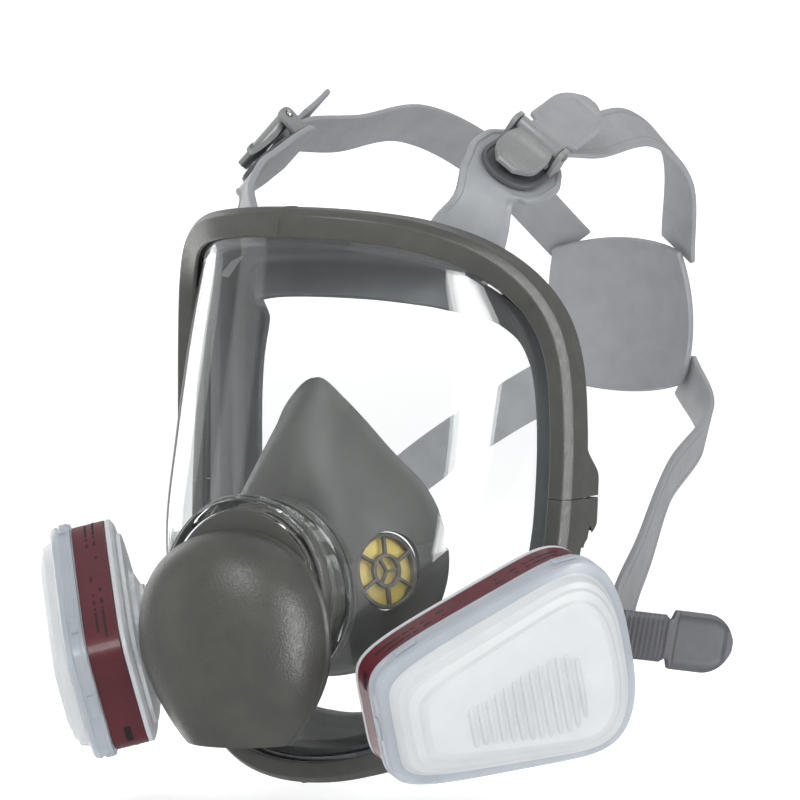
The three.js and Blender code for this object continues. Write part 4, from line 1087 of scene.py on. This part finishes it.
def cartridge_ring(height, inset, round_share=0.0, radius=0.0, columns=144):
    """The cartridge's outline drawn in by inset, or run part of the way into a circle of radius."""
    points = []
    for j in range(columns):
        c, s = math.cos(TAU * j / columns), math.sin(TAU * j / columns)
        n = mix(mix(CART["square_front"], CART["square_back"], (c + 1) / 2), 2, round_share)
        x, y = signed_power(c, 2 / n), signed_power(s, 2 / n)
        half_x = CART["length"] / 2 - inset
        half_y = mix(CART["narrow"], CART["wide"], (x + 1) / 2) / 2 - inset
        wide = mix(half_x * x, radius * x, round_share)
        points.append((wide, mix(half_y * y, radius * y, round_share), height))
    return points


def cartridge_loft(*levels):
    return loft([cartridge_ring(*level) for level in levels])


def softened(levels, radius=0.35, steps=2):
    """The (height, inset) levels with their corners rounded, as an open outline."""
    return rounded(levels, radius, steps, closed=False)


def make_cartridge_shell(hand, side):
    c = CART
    neck = [(c["neck_start"], 0, 1, c["neck"] - 0.6), (c["neck_start"] + 0.5, 0, 1, c["neck"]),
            (5.2, 0, 1, c["neck"]), (5.5, 0, 1, c["neck"] - 0.8), (5.9, 0, 1, c["neck"] - 0.8),
            (6.2, 0, 1, c["neck"] + 0.3), (7.4, 0, 1, c["neck"] + 0.6), (9, 9, 0.85, c["neck"] + 2.5),
            (c["step"], 17, 0.55, c["neck"] + 6)]
    body = softened([(c["step"] + 0.3, 8), (c["step"] + 0.5, 6.6), (13, 6.2), (13.3, 2.6),
                     (c["shell_start"], 0.8), (c["band_start"] - GAP, 0.8),
                     (c["band_start"] - GAP + 0.1, BODY_INSET), (c["shell_end"], BODY_INSET)])
    outer = cartridge_loft(*neck, *body)
    inset = BODY_INSET + c["wall"]
    hollow = cartridge_loft((c["shell_start"], inset), (c["shell_end"] + 1, inset))
    socket = disc(c["socket"], c["neck_start"] - 1, 9, 72)
    throat = disc(c["throat"], 8, c["shell_start"] + 1, 48)
    matrix = side_port(side)
    mesh = cut_mesh(placed(outer, matrix), [placed(p, matrix) for p in (hollow, socket, throat)])
    make_piece(f"cartridge_case_{hand}", mesh, "housing", f"cartridge_{hand}",
               [f"cartridge_shell_{hand}"], sharp=30)
    tabs = arc_bars(BAYONET["tab_inner"], c["socket"] + 0.6, c["neck_start"] + 0.1, BAYONET["tab_high"],
                    BAYONET["tab_arc"])
    make_object(f"cartridge_tabs_{hand}", placed(joined(*tabs), matrix), "housing", f"cartridge_{hand}")


def outline_at_angle(inset, share):
    """Point of the cartridge's outline at a share of the way round, its outward direction and its run."""
    count = 720
    p = cartridge_ring(0, inset, columns=count)
    k = int(share * count) % count
    a, b = np.array(p[k - 1]), np.array(p[(k + 1) % count])
    t = unit(b - a)
    return np.array(p[k]), np.array([t[1], -t[0], 0.0]), t


# plain bars that stand for the printing, as (start, end, height, how tall): they say nothing
PRINT_ROWS = [(0.17, 0.36, 4.6, 1.0), (0.18, 0.33, 7.6, 0.9), (0.64, 0.84, 4.6, 1.0), (0.66, 0.82, 7.6, 0.9),
              (0.02, 0.06, 6.2, 1.2), (0.44, 0.47, 6.2, 2.6), (0.94, 0.97, 6.2, 2.6)]
BAR_LENGTHS = (0.006, 0.009, 0.004, 0.011, 0.007)
BAR_SPACE = 0.0035


def make_cartridge_band(hand, side):
    c = CART
    low, high = c["band_start"], c["band_end"]
    outer = cartridge_loft((low, 1.1), (low + 0.3, 0.8), (high - 0.3, 0.8), (high, 1.1))
    inner = cartridge_loft((low - 1, BODY_INSET - GAP), (high + 1, BODY_INSET - GAP))
    matrix = side_port(side)
    mesh = cut_mesh(placed(outer, matrix), [placed(inner, matrix)])
    make_piece(f"cartridge_label_{hand}", mesh, "band", f"cartridge_{hand}", [f"cartridge_band_{hand}"])
    marks = []
    for start, end, up, tall in PRINT_ROWS:
        share = start
        word = 0
        while share < end:
            length = BAR_LENGTHS[word % len(BAR_LENGTHS)]
            word += 1
            p, out, along = outline_at_angle(0.8, share + length / 2)
            m = placement(p + (0, 0, low + up), out, along)
            marks.append(placed(block(length * 300, tall, 0.12, 0, 0, 0.02, 0.02), m))
            share += length + BAR_SPACE
    make_object(f"cartridge_marks_{hand}", placed(joined(*marks), matrix), "mark", f"cartridge_{hand}")


def make_filter_media(hand, side):
    c = CART
    inset = BODY_INSET + c["wall"] + GAP
    matrix = side_port(side)
    bed = cartridge_loft((c["shell_start"] + GAP + 0.1, inset), (c["shell_end"] - 0.9, inset),
                         (c["shell_end"] - 0.6, inset + 0.5))
    make_object(f"carbon_{hand}", placed(bed, matrix), "carbon", f"cartridge_{hand}",
                [f"carbon_bed_{hand}"])
    start, rim, top = c["shell_end"] + GAP, c["retainer_rim"], c["retainer_top"]
    levels = [(start, 6), (start + 0.6, 4.9), (rim - 1, 4.6), (rim + 0.4, 5), (top - 4, 8.4), (top - 2.6, 11),
              (top - 2.2, 15), (top - 2.05, 20), (top - 2, 24)]
    pad = make_object(f"prefilter_{hand}", placed(cartridge_loft(*levels), matrix), "felt",
                      f"cartridge_{hand}", [f"prefilter_pad_{hand}"], sharp=60)


GRILLE = {"ribs": 13, "pitch": 3.75, "width": 2.3, "x": 3, "y": -7, "short": 16, "long": 33, "height": 1.25}


def soft_rib(x, y, length, width, height, base):
    """A low rounded bar along Y whose ends run out smoothly."""
    rings = []
    for k in range(13):
        t = k / 12 * 2 - 1
        swell = math.sqrt(max(1 - abs(t) ** 6, 0.0))
        half = width / 2 * mix(0.35, 1, swell)
        rings.append([(x + half * math.cos(a), y + t * length / 2,
                       base + max(math.sin(a), -0.3) * height * max(swell, 0.05)) for a in
                      (math.pi * q / 6 for q in range(12))])
    return loft(rings)


def repainted(obj, matrix, finish, above):
    """Gives another finish to the faces above a height along the matrix's axis."""
    inverse = np.linalg.inv(matrix)
    obj.data.materials.append(finish)
    for face in obj.data.polygons:
        c = face.center
        height = inverse[2, :3] @ np.array([c.x, c.y, c.z]) / MM + inverse[2, 3]
        if height > above:
            face.material_index = 1


def make_retainer(hand, side):
    c = CART
    top, rim, start = c["retainer_top"], c["retainer_rim"], c["retainer_start"]
    outer = softened([(start, -0.8), (start + 1.4, -0.8), (start + 1.7, -0.3), (start + 5, -0.3),
                      (start + 5.4, -0.8), (rim - 0.6, -0.2), (rim, 1.0), (rim + 0.4, 3.4), (rim + 0.9, 4),
                      (top - 2.9, 5.0), (top - 2.5, 6.8), (top - 1.3, 7.6), (top - 1.1, 10.2),
                      (top - 0.2, 11.2), (top, 13.4), (top, 20)], 0.5, 3)
    inner = softened([(start - 1, 1.2), (start + 5, 1.2), (rim - 0.6, 2.2), (rim - 0.7, 4.6),
                      (top - 3.9, 6.6), (top - 3.6, 9.4), (top - 2.0, 11.3), (top - 1.7, 13.8),
                      (top - 1.4, 14.8), (top - 1.4, 20)], 0.4, 2)

    def leaning(levels):
        """The plateaus sit a little towards the wide end and the lower edge."""
        rings = []
        for height, inset in levels:
            share = smooth(3.0, 12.0, inset)
            rings.append([(x + 1.6 * share, y - 1.5 * share * side, z)
                          for x, y, z in cartridge_ring(height, inset)])
        return loft(rings)

    matrix = side_port(side)
    g = GRILLE
    ribs = []
    for k in range(g["ribs"]):
        share = k / (g["ribs"] - 1)
        x = (share - 0.5) * (g["ribs"] - 1) * g["pitch"] + g["x"]
        length = mix(g["short"], g["long"], smooth(-0.1, 0.8, share))
        if k == g["ribs"] - 1:
            length *= 0.8
        ribs.append(soft_rib(x, g["y"] * side, length, g["width"], g["height"], top - 0.25))
    mesh = cut_mesh(placed(leaning(outer), matrix), [placed(leaning(inner), matrix)])
    retainer = make_piece(f"retainer_{hand}", mesh, "clear", f"retainer_{hand}",
                          [f"filter_retainer_{hand}"], sharp=28)
    repainted(retainer, matrix, FINISH["retainer"], rim + 0.3)
    make_object(f"retainer_ribs_{hand}", placed(joined(*ribs), matrix), "retainer",
                f"retainer_{hand}", sharp=60)
    clips = []
    for share in (0.19, 0.31, 0.69, 0.81, 0.5):
        p, out, along = outline_at_angle(-0.8, share)
        m = placement(p + (0, 0, start + 2.4), out, along)
        clips.append(placed(block(9, 3.6, 0.8, 0, 0, -0.15, 0.35), m))
    make_object(f"retainer_clips_{hand}", placed(joined(*clips), matrix), "clear", f"retainer_{hand}")


for hand, side in HANDS:
    make_port(hand, side)
    make_cartridge_shell(hand, side)
    make_cartridge_band(hand, side)
    make_filter_media(hand, side)
    make_retainer(hand, side)

# ---------------------------------------------------------------- buckles, straps and the back pad

BUCKLE = {"half": 12.4, "base": 1.8, "cheek": 1.9, "pin_height": 9.2, "pin": 1.4, "hub": 3, "pin_x": 2}
STRAP = {"width": 19.6, "thickness": 2.4}
STRAP_HEIGHT = BUCKLE["base"] + 3 * GAP
TAIL = {"tab": 29, "width": 20.6, "thickness": 2.4}
HEAD = {"y": 85, "z": 55, "rx": 80, "ry": 105, "rz": 101}
PAD = {"half": 36, "low": 28, "high": 92, "thickness": 3}
ROUTES = {
    "top": {"free": [], "head": [(51, 64, 130), (48, 106, 132), (40, 148, 116), (24, 184, 86)], "upright": 1},
    "low": {"free": [(79, 50, -42), (68, 84, -25), (57, 122, -2)], "head": [(45, 165, 20), (26, 186, 36)],
            "upright": 0.25},
}
# ribbed length, rise from the strap, and turn in the strap's plane
TAIL_LAY = {"top": (4, 0.03, 0), "low": (22, 0.12, -0.22)}


def along_y(part):
    """Turns a part made about +Z so that it lies along +Y."""
    return placed(part, np.array([[1, 0, 0, 0], [0, 0, 1, 0], [0, -1, 0, 0], [0, 0, 0, 1.0]]))


def make_buckle_frame(name, matrix, hand):
    """Base plate with a rounded nose under the lever, two cheeks, and the pin between them."""
    b = BUCKLE
    half, base, cheek, up, x = b["half"], b["base"], b["cheek"], b["pin_height"], b["pin_x"]
    tab = TABS[name]
    nose = tab["nose"] - tab["toe"]
    shape = [(nose + tab["nose"] * math.cos(a), half * math.sin(a)) for a in
             (math.pi / 2 + math.pi * k / 24 for k in range(25))] + [(4, -half), (4, half)]
    centre = np.mean(shape, axis=0)
    top = GAP + base
    levels = [(1, GAP), (1, top - 0.6), (0.97, top - 0.15), (0.93, top), (0.86, top), (0.83, top - 0.35),
              (0.8, top - 0.4)]
    plate = loft([[(mix(centre[0], px, k), mix(centre[1], py, k), h) for px, py in shape] for k, h in levels])
    cheek_outline = rounded([(-5.2, 0), (3.2, 0), (3.2, up + 3), (-4.6, up + 3)], [0.8, 0.8, 3.2, 3.2], 5)
    bore = moved(along_y(disc(b["pin"] + GAP, -30, 30, 32)), x, 0, up)
    for letter, s in (("a", 1), ("b", -1)):
        y = s * (half - cheek / 2)
        rings = [[(x + px * k, y + off * cheek / 2, GAP + pz * flat) for px, pz in cheek_outline]
                 for off, k, flat in ((-1, 0.95, 0.985), (-0.8, 1, 1), (0.8, 1, 1), (1, 0.95, 0.985))]
        mesh = cut_mesh(placed(loft(rings), matrix), [placed(bore, matrix)])
        make_piece(f"{name}_buckle_cheek_{letter}_{hand}", mesh, "buckle", "mask")
    make_object(f"{name}_buckle_base_{hand}", placed(plate, matrix), "tail", "mask",
                [f"{name}_buckle_frame_{hand}"])
    length = half + 0.8
    pin = turned([(b["pin"] * 0.5, -length), (b["pin"], -length + 0.5), (b["pin"], length - 0.5),
                  (b["pin"] * 0.5, length)], 32)
    make_object(f"{name}_pin_{hand}", placed(moved(along_y(pin), x, 0, up), matrix), "steel",
                "mask", [f"{name}_buckle_pin_{hand}"])


def make_lever(name, matrix, hand):
    """A hub round the pin and a dished paddle with a raised edge, reaching forward over the tab."""
    b = BUCKLE
    up, x0 = b["pin_height"], b["pin_x"]
    width = 2 * (b["half"] - b["cheek"] - 0.5)
    hub = turned(rounded([(b["pin"] + 0.05, -width / 2), (b["hub"], -width / 2), (b["hub"], width / 2),
                          (b["pin"] + 0.05, width / 2)], 0.4, 2), 48, closed=True)
    parts = [moved(along_y(hub), x0, 0, up)]
    rings = []
    steps = 30
    for i in range(steps + 1):
        t = i / steps
        x = x0 - 2.4 - 21.6 * t
        z = up - 0.6 - 4.6 * math.sin(math.pi * t * 0.62) + 1.6 * t
        w = (width / 2) * (1 - 0.62 * smooth(0.45, 1.08, t) ** 1.5) * mix(0.86, 1, smooth(0, 0.3, t))
        ring_points = []
        across = 19
        for k in range(across):
            s = k / (across - 1) * 2 - 1
            dish = 1.3 * (1 - abs(s) ** 5) * smooth(0.08, 0.24, t) * (1 - smooth(0.8, 0.94, t))
            rim = 0.35 * max(smooth(0.72, 0.86, abs(s)), smooth(0.8, 0.94, t)) * smooth(0.05, 0.2, t)
            ring_points.append((x, s * w, z + 1.1 + rim - dish - 0.5 * smooth(0.9, 1, abs(s))))
        for k in range(across - 1, -1, -1):
            s = k / (across - 1) * 2 - 1
            ring_points.append((x, s * w * 0.97, z - 1.1))
        rings.append(ring_points)
    tip = [(p[0] - 0.7, p[1] * 0.86, mix(p[2], rings[-1][0][2] - 0.8, 0.5)) for p in rings[-1]]
    rings.append(tip)
    parts.append(loft(rings))
    make_object(f"{name}_lever_{hand}", placed(joined(*parts), matrix), "buckle",
                f"{name}_lever_{hand}", [f"{name}_buckle_lever_{hand}"], sharp=45)


def away_from_head(p, upright=1):
    h = HEAD
    return unit((p[0] / h["rx"] ** 2, (p[1] - h["y"]) / h["ry"] ** 2,
                 upright * (p[2] - h["z"]) / h["rz"] ** 2))


def on_head(p, lift):
    h = HEAD
    d = np.array([p[0], p[1] - h["y"], p[2] - h["z"]], float)
    size = math.sqrt((d[0] / h["rx"]) ** 2 + (d[1] / h["ry"]) ** 2 + (d[2] / h["rz"]) ** 2)
    d /= size
    return d + unit(d) * lift + (0, h["y"], h["z"])


def make_strap(name, matrix, hand, side):
    route = ROUTES[name]
    start = matrix[:3, 2]
    path = Path([*(local_point(matrix, x, 0, STRAP_HEIGHT) for x in (-3, 5, 11)),
                 *(mirrored(p, side) for p in route["free"]),
                 *(on_head((side * x, y, z), PAD["thickness"] + 3) for x, y, z in route["head"])])

    def out(p, t):
        return mix(start, away_from_head(p, route["upright"]), smooth(0.06, 0.3, t))

    def section(t, half):
        """A flat band with a shallow groove beside each edge."""
        h = STRAP["thickness"]
        low = h - 0.3
        points = [(-half, 0), (half, 0), (half, h), (half - 2.4, h), (half - 2.7, low), (half - 3.3, low),
                  (half - 3.6, h), (-half + 3.6, h), (-half + 3.3, low), (-half + 2.7, low),
                  (-half + 2.4, h), (-half, h)]
        return rounded(points, [0.7, 0.7, 0.7, 0.1, 0.1, 0.1, 0.1, 0.1, 0.1, 0.1, 0.1, 0.7], 2)

    part = ribbon(path, 110, lambda t: STRAP["width"], out, section)
    make_object(f"{name}_band_{hand}", part, "strap", "mask", [f"{name}_strap_{hand}"], sharp=40)


def make_tail(name, matrix, hand, side):
    low = STRAP_HEIGHT + STRAP["thickness"] + GAP
    ribbed, splay, yaw = TAIL_LAY[name]
    length = ribbed + TAIL["tab"]
    cap = TAIL["width"] * 0.62
    rings = []
    steps = 150
    for i in range(steps + 1):
        s = length * (1 - (1 - i / steps) ** 1.15) * 0.9965
        from_tab = s - ribbed
        end = max(0, s - (length - cap)) / cap
        notch = 1 - 0.16 * (smooth(-2.4, -0.6, from_tab) - smooth(0.4, 2.2, from_tab))
        half = TAIL["width"] / 2 * mix(0.9, 1.12, smooth(0.5, 2.5, from_tab)) * notch
        half *= math.sqrt(max(1 - end ** 2, 0.004))
        z = low + s * splay + 3 * (s / length) ** 2
        rib = 0.0
        if from_tab < -1.5 and s > 1.5:
            rib = 0.8 * max(0.0, math.cos(s / 2.3 * TAU)) ** 0.5
        top = TAIL["thickness"] - (0.5 if from_tab < -1.5 else 0)
        dish = 1.0 * smooth(2.5, 4.0, from_tab) * (1 - smooth(length - ribbed - 4.2,
                                                               length - ribbed - 2.4, from_tab))
        points = []
        across = 15
        for k in range(across):
            w = k / (across - 1) * 2 - 1
            sunk = dish * (1 - smooth(0.72, 0.84, abs(w)))
            edge = 0.5 * smooth(0.88, 1, abs(w)) ** 2
            raised = rib * (1 - smooth(0.86, 0.92, abs(w)))
            points.append((s, w * half, z + top - sunk - edge + raised))
        for k in range(across - 1, -1, -1):
            w = k / (across - 1) * 2 - 1
            points.append((s, w * half * 0.985, z + 0.4 * smooth(0.88, 1, abs(w)) ** 2))
        rings.append(points)
    part = moved(turned_about_z(loft(rings), side * yaw), BUCKLE["pin_x"] + 6, 0, 0)
    make_object(f"{name}_tail_{hand}", placed(part, matrix), "tail" if name == "low" else "strap", "mask",
                [f"{name}_strap_tail_{hand}"], sharp=45)


def make_pad():
    """A curved back pad with low ribs across it and a raised edge."""
    size = 48

    def layer(lift, bead):
        rows = []
        for i in range(size + 1):
            row = []
            for j in range(size + 1):
                a, b = i / size * 2 - 1, j / size * 2 - 1
                z = mix(PAD["low"], PAD["high"], (a * math.sqrt(1 - 0.18 * b * b) + 1) / 2)
                x = PAD["half"] * b * math.sqrt(1 - 0.18 * a * a)
                near = max(abs(a), abs(b))
                extra = bead * (smooth(0.84, 0.9, near) - smooth(0.94, 1.0, near))
                waffle = bead * 0.5 * (0.5 + 0.5 * math.cos(a * 9 * math.pi)) * (1 - smooth(0.7, 0.8, near))
                row.append(on_head((x, 190, z), lift + extra + waffle))
            rows.append(row)
        return rows

    front, back = layer(PAD["thickness"] + 0.6, 0.8), layer(1, 0)
    edge = grid_edge(size + 1, size + 1)
    pick = [(k // (size + 1), k % (size + 1)) for k in edge]
    middle = [mix(front[i][j], back[i][j], 0.5) for i, j in pick]
    centre = np.mean([front[i][j] for i, j in pick], axis=0)
    middle = [p + unit(p - centre) * 0.6 for p in middle]
    make_object("back_pad", thick_sheet(front, back, [middle]), "strap", "mask", ["harness_pad"], sharp=50)


for name, tab in TABS.items():
    for hand, side in HANDS:
        place = buckle_place(tab, side)
        make_buckle_frame(name, place, hand)
        make_lever(name, place, hand)
        make_strap(name, place, hand, side)
        make_tail(name, place, hand, side)
make_pad()

for hand, _ in HANDS:
    for node in ("frame_screw", "frame_nut"):
        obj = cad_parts[f"{node}_{hand}"]
        obj.data.materials.clear()
        obj.data.materials.append(FINISH["steel"])

# ---------------------------------------------------------------- stage, lights and camera

FLOOR_Z = cad_box[0][2] / MM - 24   # below the twisted cartridges too
VIEW = {"azimuth": 32, "elevation": 5, "distance": 2.5, "lens": 289, "shift": (-0.0266, 0.1091)}
FLOOR = {"front": -8000, "back": 5200, "curve": 1600, "wall": 7000, "half_width": 9000}


def make_stage():
    """A pale floor that curves up into a plain back wall; the paper glows as painted light, more the further
    it is from the mask, and so also lights the mask from below.
    """
    f = FLOOR
    profile = [(f["front"], 0), (f["back"], 0)]
    for k in range(1, 13):
        a = k / 12 * math.pi / 2
        profile.append((f["back"] + f["curve"] * math.sin(a), f["curve"] * (1 - math.cos(a))))
    profile.append((f["back"] + f["curve"], f["wall"]))
    n = Nodes("studio_paper_painted_glow")
    n.link(n.blend(n.remap(n.noise(240, 2), 0.3, 0.7, 0, 1), linear(250, 250, 250), linear(247, 247, 248)),
           n.shader.inputs["Base Color"])
    n.set(Roughness=0.9, Specular_IOR_Level=0.1, Emission_Color=(1, 1, 1, 1))
    # painted light: the paper's glow grows with distance from the mask
    away = n.add("ShaderNodeVectorMath", operation="LENGTH")
    n.link(n.place, away.inputs[0])
    n.link(n.remap(away.outputs["Value"], 0.8, 3.6, 0.32, 0.62), n.shader.inputs["Emission Strength"])
    turn = math.radians(VIEW["azimuth"])
    toward = np.array([-math.sin(turn), math.cos(turn)])
    across = np.array([math.cos(turn), math.sin(turn)])
    verts = [(*(toward * depth + across * s), FLOOR_Z + height)
             for depth, height in profile for s in (-f["half_width"], f["half_width"])]
    faces = [(2 * k, 2 * k + 1, 2 * k + 3, 2 * k + 2) for k in range(len(profile) - 1)]
    mesh = mesh_of("studio_floor", (verts, faces))
    mesh.materials.append(n.material)
    mesh.polygons.foreach_set("use_smooth", [True] * len(mesh.polygons))
    floor = new_object("studio_floor", mesh)
    floor.visible_glossy = False


def aimed(name, data, target, azimuth, elevation, distance):
    """A lamp or camera that looks at the target from an azimuth and an elevation in degrees."""
    d = Vector(heading(azimuth, elevation))
    obj = new_object(name, data)
    obj.location = target + d * distance
    obj.rotation_euler = (-d).to_track_quat("-Z", "Y").to_euler()
    return obj


def make_light(name, azimuth, elevation, distance, width, height, power, reflection_only=False):
    """A soft rectangular lamp aimed at the mask."""
    lamp = bpy.data.lights.new(name, "AREA")
    lamp.shape = "RECTANGLE"
    lamp.size, lamp.size_y, lamp.energy = width, height, power
    obj = aimed(name, lamp, Vector(), azimuth, elevation, distance)
    obj.visible_diffuse = not reflection_only


def make_camera():
    """A long lens, where the photographer stood: to the wearer's left and a little above."""
    data = bpy.data.cameras.new("camera")
    data.lens = VIEW["lens"]
    data.shift_x, data.shift_y = VIEW["shift"]
    camera = aimed("camera", data, Vector((0, 0.03, 0)), VIEW["azimuth"], VIEW["elevation"], VIEW["distance"])
    bpy.context.scene.camera = camera


make_stage()
make_light("key", 12, 46, 1.6, 0.7, 0.8, 12)
make_light("strip_right", 83, -4, 1.25, 0.42, 1.5, 15, reflection_only=True)
make_light("side_right", 84, -4, 1.3, 0.3, 1.5, 7)
make_light("fill_left", -60, 12, 1.8, 0.8, 1.4, 2.4)
make_light("rim_left", -115, 0, 1.2, 0.5, 1.4, 4.5)
make_light("back_top", 190, 50, 1.7, 1.2, 0.8, 4)

world = bpy.data.worlds.new("studio")
bpy.context.scene.world = world
world.use_nodes = True
background = world.node_tree.nodes["Background"]
background.inputs["Color"].default_value = (1, 1, 1, 1)
background.inputs["Strength"].default_value = 0.4
bpy.context.scene.view_settings.view_transform = "Standard"

make_camera()
